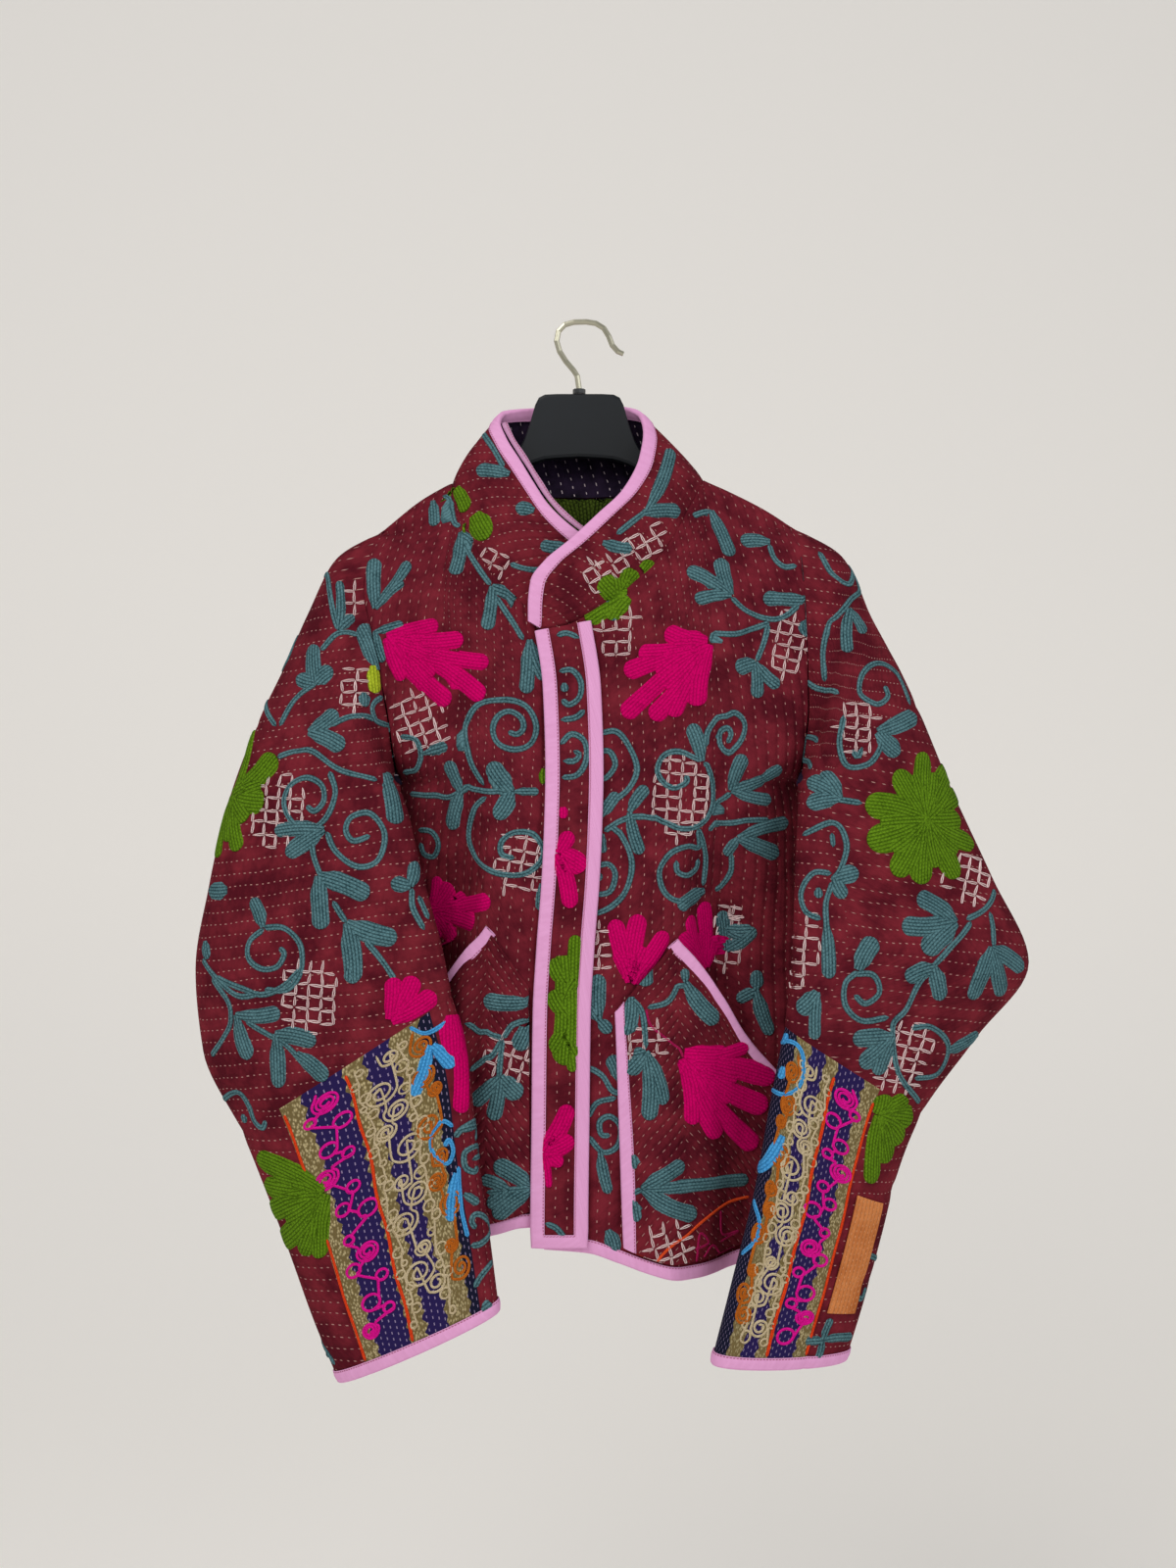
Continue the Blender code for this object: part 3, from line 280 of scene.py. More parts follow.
def press(points, normals, creases, face):
    """Soft ridges and troughs: a bell of the distance to a short line, seen from the front or back.

    Each crease is X and down of both ends, half width, and the amount outwards."""
    x = points[..., 0].copy()
    down = -points[..., 2].copy()
    seen = np.clip(normals[..., 1] * face * CREASE_SIDE[0] + CREASE_SIDE[1], 0, 1)
    for x1, down1, x2, down2, width, amount in creases:
        length = math.hypot(x2 - x1, down2 - down1)
        ax, ad = (x2 - x1) / length, (down2 - down1) / length
        along = (x - x1) * ax + (down - down1) * ad
        across = (x - x1) * ad - (down - down1) * ax
        fade = CREASE_FADE * length
        inside = ease(along / fade + CREASE_START) * ease((length - along) / fade + CREASE_START)
        points += (amount * bell(across, 0, width) * inside * seen)[..., None] * normals


def finish_panel(panel, points, flip, creases, face, **seams):
    """Presses the creases into a grid, rounds it in at its seams and keeps it; returns its normals."""
    press(points, grid_normals(points, flip), creases, face)
    pinch_edges(points, grid_normals(points, flip), **seams)
    normals = grid_normals(points, flip)
    PANELS[panel] = (points, normals, False)
    return normals


def distance_run(points, axis=0):
    """Distance run along one axis of a grid of points, from nought."""
    steps = np.linalg.norm(np.diff(points, axis=axis), axis=-1)
    return np.insert(np.cumsum(steps, axis=axis), 0, 0, axis=axis)


def flat_map(points, start_along=0.0, start_across=0.0):
    """Cloth coordinates in metres: distance down a panel, and distance across it."""
    along, across = distance_run(points) + start_along, distance_run(points, 1) + start_across
    return np.stack([along, across], axis=-1) * MM


def mesh_object(name, points, faces, uv, slots, materials):
    """Object at the origin from points in millimetres, faces, and per-corner cloth coordinates."""
    mesh = bpy.data.meshes.new(name)
    mesh.from_pydata((points * MM).tolist(), [], faces)
    layer = mesh.uv_layers.new(name="cloth")
    layer.data.foreach_set("uv", np.asarray(uv, np.float32).ravel())
    for material in materials:
        mesh.materials.append(material)
    mesh.polygons.foreach_set("material_index", np.asarray(slots, np.int32))
    mesh.update()
    mesh.shade_smooth()
    mesh.set_sharp_from_angle(angle=SHARP)
    piece = bpy.data.objects.new(name, mesh)
    bpy.context.scene.collection.objects.link(piece)
    return piece


def cloth(name, node, part, outer, normals, uv, materials, wall=WALL, wrap=False, rests_on="hanger_body"):
    """Thin closed wall: the outer grid, the same grid moved in by the wall, and rims between them. It
    stands for a node of the CAD model."""
    rows, columns = outer.shape[:2]
    span = columns if wrap else columns - 1
    points = np.vstack([outer.reshape(-1, 3), (outer - wall * normals).reshape(-1, 3)])
    below = rows * columns
    r, c = (part.ravel() for part in np.meshgrid(np.arange(rows - 1), np.arange(span), indexing="ij"))
    face_r = np.stack([r, r, r + 1, r + 1], axis=-1)
    face_c = np.stack([c, c + 1, c + 1, c], axis=-1)
    k = np.arange(span)
    top = (np.stack([0 * k] * 4, axis=-1), np.stack([k + 1, k, k, k + 1], axis=-1))
    end = (np.stack([0 * k + rows - 1] * 4, axis=-1), np.stack([k, k + 1, k + 1, k], axis=-1))
    quads = [(face_r, face_c, np.zeros_like(face_r)), (face_r[:, ::-1], face_c[:, ::-1], 1 + 0 * face_r)]
    lower = np.array([0, 0, 1, 1])
    quads += [(*top, np.tile(lower, (span, 1))), (*end, np.tile(lower, (span, 1)))]
    if not wrap:
        k = np.arange(rows - 1)
        left = (np.stack([k, k + 1, k + 1, k], axis=-1), np.stack([0 * k] * 4, axis=-1))
        right = (np.stack([k + 1, k, k, k + 1], axis=-1), np.stack([0 * k + columns - 1] * 4, axis=-1))
        quads += [(*left, np.tile(lower, (rows - 1, 1))), (*right, np.tile(lower, (rows - 1, 1)))]
    face_r, face_c, layer = (np.vstack([quad[index] for quad in quads]) for index in range(3))
    faces = face_r * columns + face_c % columns + layer * below
    corners = uv[face_r, face_c]
    slots = np.where(layer.min(axis=1) == 1, len(materials) - 1, 0)
    a, b, c, d = (points[faces[:, index]] for index in range(4))
    volume = np.einsum("ij,ij->", a, np.cross(b, c)) + np.einsum("ij,ij->", a, np.cross(c, d))
    if volume < 0:
        faces, corners = faces[:, ::-1], corners[:, ::-1]
    piece = mesh_object(name, points, faces.tolist(), corners, slots, materials)
    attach(piece, "root")
    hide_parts(node)


def colour(code):
    """Linear RGBA from an sRGB hex code."""
    parts = [int(code[k:k + 2], 16) / 255 for k in (1, 3, 5)]
    return [c / 12.92 if c <= 0.04045 else ((c + 0.055) / 1.055) ** 2.4 for c in parts] + [1.0]


def feed(node, *values, **named):
    """Feeds the inputs of a node, in order or by name, with plain values or with other nodes. A node
    gives its first output that is in use."""
    sockets = [socket for socket in node.inputs if socket.enabled]
    pairs = [*zip(sockets, values), *((node.inputs[key.replace("_", " ")], named[key]) for key in named)]
    for socket, value in pairs:
        if isinstance(value, bpy.types.Node):
            value = next(output for output in value.outputs if output.enabled)
        if isinstance(value, bpy.types.NodeSocket):
            node.id_data.links.new(value, socket)
        else:
            socket.default_value = value
    return node


def add_node(tree, kind, *values, **named):
    """Adds one node. Its operation, if it has one, follows its kind; capitalised names are inputs, the
    others are settings."""
    kind, _, operation = kind.partition(" ")
    node = tree.nodes.new("ShaderNode" + kind)
    if operation:
        node.operation = operation
    for key in [key for key in named if key[0].islower()]:
        setattr(node, key, named.pop(key))
    return feed(node, *values, **named)


def new_material(name, **inputs):
    """Material with its Principled shader's plain values set: returns it, its shader and its add_node."""
    material = bpy.data.materials.new(name)
    material.use_nodes = True
    shader = feed(material.node_tree.nodes["Principled BSDF"], **inputs)
    return material, shader, partial(add_node, material.node_tree)


def quilted_cotton(name, bright, deep, thread, row, pitch=7.4, mark=0.13):
    """Old washed cotton, several layers run through by hand: matt, puckered between rows of running
    stitches about 2 mm long, `row` mm apart and `pitch` mm from one to the next. The weave of 0.4 mm
    is too fine to show, so a soft grain of 1 mm stands for it."""
    material, shader, add = new_material(name, Roughness=0.95, Specular_IOR_Level=0.06)
    flat = add("UVMap", uv_map="cloth")
    drift = add("TexNoise", flat, Scale=24.0, Detail=2.0)
    moved = add("VectorMath MULTIPLY_ADD", drift.outputs["Color"], (0.006, 0.006, 0), flat)
    place = add("SeparateXYZ", add("VectorMath MULTIPLY", moved, (1000 / pitch, 1000 / row, 0)))
    line = add("Math FLOOR", place.outputs[1])
    start = add("TexWhiteNoise", line, noise_dimensions="1D")
    along = add("Math MULTIPLY_ADD", start, 5.0, place)
    cell = add("CombineXYZ", add("Math FLOOR", along), line)
    chance = add("TexWhiteNoise", cell, noise_dimensions="2D")
    step = add("Math ABSOLUTE", add("Math SUBTRACT", add("Math FRACT", along), 0.5))
    share = add("Math DIVIDE", step, add("Math MULTIPLY_ADD", chance, mark * 0.7, mark))
    long_mask = add("MapRange", share, 0.8, 1.15, 1.0, 0.0, interpolation_type="SMOOTHSTEP")
    off = add("Math ABSOLUTE", add("Math SUBTRACT", add("Math FRACT", place.outputs[1]), 0.5))
    half = 0.22 / row
    wide_mask = add("MapRange", off, half, half * 2.6, 1.0, 0.0, interpolation_type="SMOOTHSTEP")
    stitch = add("Math MULTIPLY", long_mask, wide_mask)
    valley = add("MapRange", off, 0.0, 0.36, 0.0, 0.6, interpolation_type="SMOOTHSTEP")
    ripple = add("TexNoise", add("VectorMath MULTIPLY", moved, (240, 85, 0)), Scale=1.0, Detail=2.0)
    grain = add("TexNoise", flat, Scale=950.0, Detail=2.0)
    body = add("TexCoord").outputs["Object"]
    patchy = add("TexNoise", body, Scale=34.0, Detail=4.0, Roughness=0.6)
    # The ground colour is lighter on the puckers' ridges and darker in their hollows, following the bump:
    # painted shade. Random patches on top vary its tone.
    ridge_shade_and_patches = add("Math MULTIPLY_ADD", ripple, 0.55, add("MapRange", patchy, 0.36, 0.66))
    ridge_shade_and_patches = add("Math SUBTRACT", ridge_shade_and_patches, 0.3, use_clamp=True)
    ground = add("Mix", ridge_shade_and_patches, colour(deep), colour(bright), data_type="RGBA")
    painted = add("Mix", stitch, ground, colour(thread), data_type="RGBA")
    height = add("Math MULTIPLY_ADD", ripple, 0.9, valley)
    height = add("Math MULTIPLY_ADD", stitch, 0.55, height)
    height = add("Math MULTIPLY_ADD", grain, 0.22, height)
    bump = add("Bump", Strength=0.9, Distance=0.0015, Height=height)
    feed(shader, Base_Color=painted, Normal=bump)
    return material


MAROON = quilted_cotton("maroon_kantha_cotton", "#782430", "#50121E", "#BC8A84", 9.8, 7.6, 0.095)
ACROSS = quilted_cotton("maroon_kantha_cotton_fine", "#78242F", "#50121E", "#B98882", 9.4, 5.4, 0.125)
REVERSE = quilted_cotton("dark_quilt_reverse", "#2C2036", "#120E18", "#C9B9C0", row=9.6)
# X and down of both ends, half width, amount outwards
FRONT_CREASES = {
    "left": ((92, 318, 100, 560, 7, 2.2), (108, 330, 118, 600, 6, -2.0), (88, 170, 120, 300, 7, 1.6),
             (120, 175, 146, 262, 6, -2.0), (134, 180, 160, 250, 5, 2.2), (40, 560, 62, 735, 8, 1.8),
             (20, 300, 16, 520, 9, -1.2), (70, 420, 96, 448, 8, -1.6), (60, 690, 80, 755, 7, -1.8)),
    "right": ((-100, 330, -108, 560, 7, 2.2), (-118, 340, -126, 600, 6, -2.0),
              (-96, 170, -122, 290, 7, 1.6), (-124, 180, -148, 262, 6, -2.0),
              (-138, 184, -160, 250, 5, 2.2), (-64, 560, -70, 715, 8, 1.6),
              (-56, 300, -60, 520, 9, -1.2), (-40, 640, -48, 712, 6, 1.4)),
}


def build_front(side):
    """One front: columns fan out from the neckline and shoulder, rows run to the hem."""
    sign = SIGN[side]
    x, down = rows_at(NECKLINE, np.linspace(*NECK_COLUMNS[side]))
    outer = sign * np.linspace(abs(x[-1]), SHOULDER_END[side], SHOULDER_COLUMNS)[1:]
    x = np.concatenate([x, outer])
    down = np.concatenate([down, read(SHOULDER_LINE[side], np.abs(outer))])
    share = np.clip(front_share(side, x, down), 0, 1)
    share[-1] = 1.0
    levels = panel_levels(side, down, read(HEM[side], share))
    points = front_point(side, np.repeat(share[None], len(levels), axis=0), levels)
    normals = finish_panel("front_" + side, points, sign, FRONT_CREASES[side], -1, first=False)
    uv = flat_map(points, *CLOTH_START["front_" + side])
    cloth("front_" + side + "_cloth", "front_" + side, "cloth", points, normals, uv, [MAROON, REVERSE])


for side in SIGN:
    build_front(side)

# Back panel
# One quilted panel from side seam to side seam, of the same layers of old cotton, hanging from the
# hanger's arms in long shallow folds. Its dark reverse shows inside the neck.
BACK_DEPTH = 27.0
BACK_SLOPE = 140.0
BACK_SHARE = ((0, 1), (0.6, 1), (0.85, 0.86), (0.95, 0.5), (1, 0))
BACK_HEM = 733.0
HEM_WAVE = 3.0
HEM_WAVES = 9.0
BACK_NECK_COLUMNS = 54
BACK_RIGHT_COLUMNS = 18
# share, down, amount backward, width in shares, length
BACK_FOLDS = (
    (-0.62, 640, 5.0, 0.12, 160.0), (-0.30, 690, 4.0, 0.10, 120.0), (0.05, 640, 4.0, 0.12, 180.0),
    (0.42, 680, 5.0, 0.12, 140.0), (0.70, 600, 4.0, 0.10, 150.0), (-0.45, 330, 3.0, 0.14, 90.0),
    (0.45, 330, 3.0, 0.14, 90.0),
)
BACK_CREASES = (
    (-120, 190, -96, 330, 9, 2.0), (118, 190, 98, 330, 9, 2.0), (-140, 240, -60, 300, 9, -1.4),
    (138, 240, 66, 306, 9, -1.4), (-40, 170, -30, 300, 10, 1.2), (34, 168, 30, 290, 10, 1.2),
    (-90, 420, -104, 720, 9, 1.6), (70, 430, 88, 716, 9, 1.6), (-10, 470, 2, 730, 8, -1.5),
    (130, 560, 150, 720, 8, -1.8), (-140, 540, -156, 722, 8, -1.8),
)


def back_point(share, down):
    """Outside of the back: fall from the shoulders times a profile across, with shallow folds."""
    points = []
    for side in ("right", "left"):
        x = share * side_x(side, down)
        full = fall(below_shoulder(side, x, down), BACK_DEPTH, BACK_SLOPE)
        edge = edge_depth(side, down, ARMHOLE_BACK)
        points.append(stack(x, edge + (full - edge) * read(BACK_SHARE, np.abs(share)), down))
    result = np.where((share < 0)[..., None], points[0], points[1])
    for at, level, amount, width, length in BACK_FOLDS:
        result[..., 1] += amount * bell(share, at, width) * bell(down, level, length)
    return result


def build_back():
    """The back: columns from the right shoulder over the neck to the left one."""
    neck_x, neck_down = rows_at(NECKLINE, np.linspace(RIGHT_NECK, LEFT_NECK, BACK_NECK_COLUMNS))
    right = -np.linspace(SHOULDER_END["right"], abs(neck_x[0]), BACK_RIGHT_COLUMNS)[:-1]
    left = np.linspace(neck_x[-1], SHOULDER_END["left"], SHOULDER_COLUMNS)[1:]
    x = np.concatenate([right, neck_x, left])
    down = np.concatenate([read(SHOULDER_LINE["right"], -right), neck_down,
                           read(SHOULDER_LINE["left"], left)])
    share = np.where(x < 0, x / side_x("right", down), x / side_x("left", down))
    share[0], share[-1] = -1.0, 1.0
    hem = BACK_HEM + HEM_WAVE * np.sin(HEM_WAVES * share)
    toward = (1 + share) / 2
    levels = (panel_levels("left", down, hem * 0 + hem[-1]) * toward
              + panel_levels("right", down, hem * 0 + hem[-1]) * (1 - toward))
    levels += (levels - down) / (hem[-1] - down) * (hem - hem[-1])
    points = back_point(np.repeat(share[None], len(levels), axis=0), levels)
    normals = finish_panel("back", points, -1.0, BACK_CREASES, 1)
    uv = flat_map(points, *CLOTH_START["back"])
    cloth("back_cloth", "back", "cloth", points, normals, uv, [MAROON, REVERSE])


build_back()

# Collar
# A soft standing band of the same quilt, sewn round the neckline and open at the front, its left end lapped
# over the right. It rolls outwards a little and ends in a pink binding.
# edge X, edge Y, edge down along the free edge, from the left end in front round the back
COLLAR = (
    (-43, -66, 249), (-43, -67, 236), (-41, -68, 217), (-30, -67, 201), (-10, -65, 184), (12, -60, 163),
    (32, -50, 142), (45, -34, 115), (49, -15, 90), (46, 0, 74), (36, 12, 67), (15, 21, 64),
    (-11, 24, 63), (-35, 20, 66), (-57, 12, 68.5), (-69, 3, 72), (-72, -7, 81), (-66, -18, 97),
    (-54, -27, 117), (-44, -34, 134), (-32, -41, 153), (-18, -45, 168), (-3, -48, 180), (13, -49, 190),
)
COLLAR_CURVE = 4.0
COLLAR_FULL = 60.0
COLLAR_HIDDEN = 19.0
COLLAR_COLUMNS = 185
COLLAR_ROWS = np.linspace(-0.03, 1, 17)      # shares of the width, from just inside the seam to the binding


def neck_points(at):
    """Points of the neckline seam on the surface of the panels."""
    x, down = rows_at(NECKLINE, at)
    points = back_point(np.where(x < 0, x / side_x("right", down), x / side_x("left", down)), down)
    for side, here in (("left", at <= LEFT_NECK), ("right", at >= RIGHT_NECK)):
        points[here] = front_point(side, front_share(side, x, down), down)[here]
    return points


def build_collar():
    """Band: straight lines from the seam to the free edge, bowed outwards by a half sine."""
    at = np.linspace(0, len(COLLAR) - 1, COLLAR_COLUMNS)
    edge = stack(*rows_at(COLLAR, at))
    seam = neck_points(at)
    width = np.linalg.norm(edge - seam, axis=-1)
    fold = 1 - np.minimum(BINDING_WIDTH / width, 0.5)
    rows = np.concatenate([fold[:, None] * COLLAR_ROWS, (1 + fold[:, None]) / 2,
                           np.ones((len(at), 1))], axis=1)
    flat = seam[:, None] + (edge - seam)[:, None] * rows[..., None]
    out = unit(np.cross(np.gradient(flat, axis=0), (edge - seam)[:, None]))
    belly = COLLAR_CURVE * np.minimum(width / COLLAR_FULL, 1) * (1 - ease((at - COLLAR_HIDDEN) / 2))
    points = flat + out * (np.sin(math.pi * rows) * belly[:, None])[..., None]
    normals = grid_normals(points, 1.0)
    pinch_edges(points.swapaxes(0, 1), normals.swapaxes(0, 1), first=False, last=False)
    PANELS["collar"] = (points, normals, False)
    uv = flat_map(points, *CLOTH_START["collar"])[..., ::-1]
    cloth("collar_cloth", "collar", "cloth", points, normals, uv, [ACROSS, REVERSE])


build_collar()

# Bindings
# Strips of smooth pink cotton cut on the bias, folded over each raw edge and stitched down about 1 mm from
# their inner edge, so that they stand a little above the quilt and dimple at the stitches.
BINDING_WALL = 1.0
BINDING_NEAR = 0.3
# places across each face, from the sewn edge out, their height, and the turns round the raw edge
BINDING_SHARE = np.array([0.0, 0.06, 0.14, 0.3, 0.5, 0.7, 0.88, 1.0])
BINDING_CROWN = np.array([-0.55, 0.0, -0.12, 0.2, 0.35, 0.25, 0.0, -0.1])
BINDING_TURNS = np.radians(np.array([60, 30, 0, -30, -60]))


def bias_cotton(name, tone, shade):
    """Smooth pink cotton: faint sheen, soft puckers across the strip, a line of small stitches."""
    material, shader, add = new_material(name, Roughness=0.85, Specular_IOR_Level=0.12)
    flat = add("UVMap", uv_map="cloth")
    place = add("SeparateXYZ", flat)
    pucker = add("TexNoise", add("VectorMath MULTIPLY", flat, (260, 70, 0)), Scale=1.0)
    # The colour goes toward the darker pink in the puckers' hollows, where the bump sinks: painted shade.
    ground = add("Mix", pucker, colour(shade), colour(tone), data_type="RGBA")
    off = add("Math ABSOLUTE", add("Math SUBTRACT", place.outputs[1], 0.0013))
    line = add("MapRange", off, 0.0003, 0.0006, 1.0, 0.0)
    beat = add("Math FRACT", add("Math MULTIPLY", place, 1000 / 2.6))
    stitch = add("Math MULTIPLY", line, add("Math GREATER_THAN", beat, 0.35))
    painted = add("Mix", stitch, ground, colour("#A8607F"), data_type="RGBA")
    bump = add("Bump", Strength=0.5, Distance=0.0008, Height=add("Math MULTIPLY_ADD", line, -0.8, pucker))
    feed(shader, Base_Color=painted, Normal=bump)
    return material


ORCHID = bias_cotton("orchid_pink_bias_cotton", "#E8A9D8", "#D695C2")


def binding(name, node, edge, normals, away, inside, wall, closed=False):
    """Folded strip over an edge: flat on both faces, half a circle round the edge, carried along it."""
    reach = edge - inside
    half = wall / 2 + BINDING_NEAR + BINDING_WALL
    middle, sewn = edge - normals * wall / 2, inside - normals * wall / 2
    across = [*zip(BINDING_SHARE, BINDING_CROWN)]
    front = [sewn + reach * share + normals * (half + crown) for share, crown in across]
    bend = [middle + half * (away * math.cos(turn) + normals * math.sin(turn)) for turn in BINDING_TURNS]
    rear = [sewn + reach * share - normals * (half + crown) for share, crown in across[::-1]]
    points = np.stack(front + bend + rear, axis=1)
    across = np.gradient(points, axis=1)
    along = np.gradient(points, axis=0)
    if closed:
        along = np.roll(points, -1, axis=0) - np.roll(points, 1, axis=0)
    out = unit(np.cross(across, along))
    out *= np.sign(np.einsum("ijk,ik->ij", out[:, 2:3], normals))[..., None]
    grids = [points, out, flat_map(np.concatenate([points, points[:1]]) if closed else points)]
    if closed:
        grids = [grid.swapaxes(0, 1) for grid in grids]
    cloth(name, node, "binding", *grids, [ORCHID], wall=BINDING_WALL, wrap=closed)


def panel_edge(panel, pick, inside):
    """Edge points, normals, outward direction and inner points of a binding from a panel's grid."""
    points, normals, _ = PANELS[panel]
    edge, inner = points[pick], points[inside]
    return edge, normals[pick], unit(edge - inner), inner


binding("collar_bias", "collar_binding", *panel_edge("collar", np.s_[:, -1], np.s_[:, -3]), WALL)
for side in SIGN:
    binding("hem_" + side + "_bias", "hem_" + side + "_binding",
            *panel_edge("front_" + side, np.s_[-1, :-1], np.s_[-3, :-1]), WALL)
binding("hem_back_bias", "hem_back_binding", *panel_edge("back", np.s_[-1, 1:-1], np.s_[-3, 1:-1]), WALL)

# Flap
# A narrow quilted strip sewn over the front opening from the collar's end to the hem, hiding the fastening,
# bound in pink down both sides and across its lower end.
FLAP_TOP = 251.5
FLAP_SLANT = 3.6
FLAP_SLANT_FADE = 30.0
FLAP_END = 737.0
FLAP_HALF = 20.5
FLAP_LIFT = 4.0
FLAP_LOW = 660.0
FLAP_LOW_REACH = 55.0
FLAP_LOW_LIFT = 1.8
FLAP_WALL = 2.0
FLAP_ROWS = 120
FLAP_INSIDE = 3


def build_flap():
    """Grid between the two edges, lifted off the left front along its normals; then its binding."""
    fold = BINDING_WIDTH / FLAP_HALF
    across = np.concatenate([np.linspace(-1, fold - 1, 4), np.linspace(fold - 1, 1 - fold, 9)[1:-1],
                             np.linspace(1 - fold, 1, 4)])
    levels = np.concatenate([np.linspace(FLAP_TOP, FLAP_END - BINDING_WIDTH, FLAP_ROWS),
                             FLAP_END - BINDING_WIDTH * np.array([2 / 3, 1 / 3, 0])])
    straight = ease((levels[:, None] - FLAP_TOP) / FLAP_SLANT_FADE)
    down = levels[:, None] - FLAP_SLANT * across * (1 - straight)
    x = read(FLAP_LINE, down) + across[None] * FLAP_HALF
    base = front_point("left", front_share("left", x, down), down)
    normals = grid_normals(base, 1.0)
    lift = FLAP_LIFT + FLAP_LOW_LIFT * ease((down - FLAP_LOW) / FLAP_LOW_REACH)
    points = base + lift[..., None] * normals
    normals = grid_normals(points, 1.0)
    PANELS["flap"] = (points, normals, False)
    uv = flat_map(points, *CLOTH_START["flap"])
    cloth("flap_cloth", "flap", "cloth", points, normals, uv, [MAROON, REVERSE], wall=FLAP_WALL)
    rows, columns = points.shape[0] - 1, points.shape[1] - 1
    low, west = rows - FLAP_INSIDE, FLAP_INSIDE
    east = columns - FLAP_INSIDE
    span = np.arange(low)
    middle = np.arange(west, east + 1)
    edge_row = np.concatenate([span, [rows], 0 * middle + rows, [rows], span[::-1]])
    edge_column = np.concatenate([0 * span, [0], middle, [columns], 0 * span + columns])
    in_row = np.concatenate([span, [low], 0 * middle + low, [low], span[::-1]])
    in_column = np.concatenate([0 * span + west, [west], middle, [east], 0 * span + east])
    edge, inner = points[edge_row, edge_column], points[in_row, in_column]
    away = unit(edge - inner)
    binding("flap_bias", "flap_binding", edge, normals[edge_row, edge_column], away, inner, FLAP_WALL)


build_flap()

# Pockets
# Patch pockets of the same quilt, sewn over the lower fronts. The hand goes in under a slanted mouth that
# is bound in pink; the left pocket's upright edge is bound too, the right one's is under the flap.
POCKET_TOP = {
    "left": ((24, 552), (32, 543), (50, 521), (70, 498), (88, 522), (106, 546), (125, 572),
             (145, 599), (165, 626), (185, 653)),
    "right": ((-45, 533), (-54, 521), (-65, 505), (-76, 488), (-90, 507), (-105, 527),
              (-122, 549), (-141, 574), (-160, 600), (-180, 626)),
}
POCKET_MOUTH = 3
POCKET_SHIFT = {"left": 8.0, "right": 0.0}
POCKET_FLARE = 14.0
POCKET_LIFT = 2.4
POCKET_FULL = 4.0
POCKET_WALL = 2.0
POCKET_HEM = 3.0
POCKET_SIDE = 0.955
MOUTH_SLANT = 1.68
POCKET_FINE = 5        # columns between two places of the upper edge
POCKET_ROWS = 40
MOUTH_SINK = 0.6       # share of the cloth's own depth that the binding's inner line follows


def build_pocket(side):
    """Grid from the upper edge to the hem, lifted off the front and bridging its hollows at the mouth."""
    sign = SIGN[side]
    steps = np.arange(len(POCKET_TOP[side]))
    places = np.linspace(0, steps[-1], steps[-1] * POCKET_FINE + 1)
    top_x = np.interp(places, steps, column(POCKET_TOP[side], 0))
    top_down = np.interp(places, steps, column(POCKET_TOP[side], 1))
    hem = read(HEM[side], front_share(side, top_x, top_down)) - BINDING_WIDTH - POCKET_HEM
    fold = top_down + BINDING_WIDTH * MOUTH_SLANT
    down = np.vstack([top_down + (fold - top_down) * s for s in (0, 1 / 3, 2 / 3)]
                     + [fold + (hem - fold) * s for s in np.linspace(0, 1, POCKET_ROWS)])
    across = (top_x - top_x[0]) / (top_x[-1] - top_x[0])
    reach = (down - top_down) / (hem - top_down)
    x = top_x + POCKET_SHIFT[side] * reach * (1 - across) + sign * POCKET_FLARE * ease(reach) * across
    share = np.minimum(front_share(side, x, down), POCKET_SIDE)
    base = front_point(side, share, down)
    points = base + (POCKET_LIFT + POCKET_WALL) * grid_normals(base, sign)
    mouth = POCKET_MOUTH * POCKET_FINE
    along = np.clip((top_x - top_x[mouth]) / (top_x[-1] - top_x[mouth]), 0, 1)
    line = points[0, mouth, 1] + (points[0, -1, 1] - points[0, mouth, 1]) * along
    bridge = np.maximum(points[0, :, 1] - line + POCKET_FULL * np.sin(math.pi * along), 0.0) * (along > 0)
    points[..., 1] -= bridge * np.cos(math.pi / 2 * np.clip(reach, 0, 1)) ** 0.9
    normals = grid_normals(points, sign)
    pinch_edges(points, normals, top=False, bottom=True, first=side == "right")
    PANELS["pocket_" + side] = (points, normals, False)
    uv = flat_map(points, *CLOTH_START["pocket_" + side])[..., ::-1]
    cloth("pocket_" + side + "_cloth", "pocket_" + side, "cloth", points, normals, uv, [ACROSS, REVERSE],
          wall=POCKET_WALL)
    edge = points[0, mouth:]
    away = unit(np.cross(edge[-1] - edge[0], normals[0, mouth:].mean(axis=0))) + 0 * edge
    away *= np.sign(away[:, 2:3])
    inner = edge - away * BINDING_WIDTH
    inner[:, 1] = edge[:, 1] + (points[3, mouth:, 1] - edge[:, 1]) * MOUTH_SINK
    binding("pocket_" + side + "_mouth_bias", "pocket_" + side + "_mouth_binding", edge,
            normals[0, mouth:], away, inner, POCKET_WALL)
    if side == "left":
        edge = points[:, 0]
        direction = unit(points[:, 2] - points[:, 0])
        inner = edge + direction * BINDING_WIDTH
        binding("pocket_left_edge_bias", "pocket_left_edge_binding", edge, normals[:, 0], -direction,
                inner, POCKET_WALL)


for side in SIGN:
    build_pocket(side)

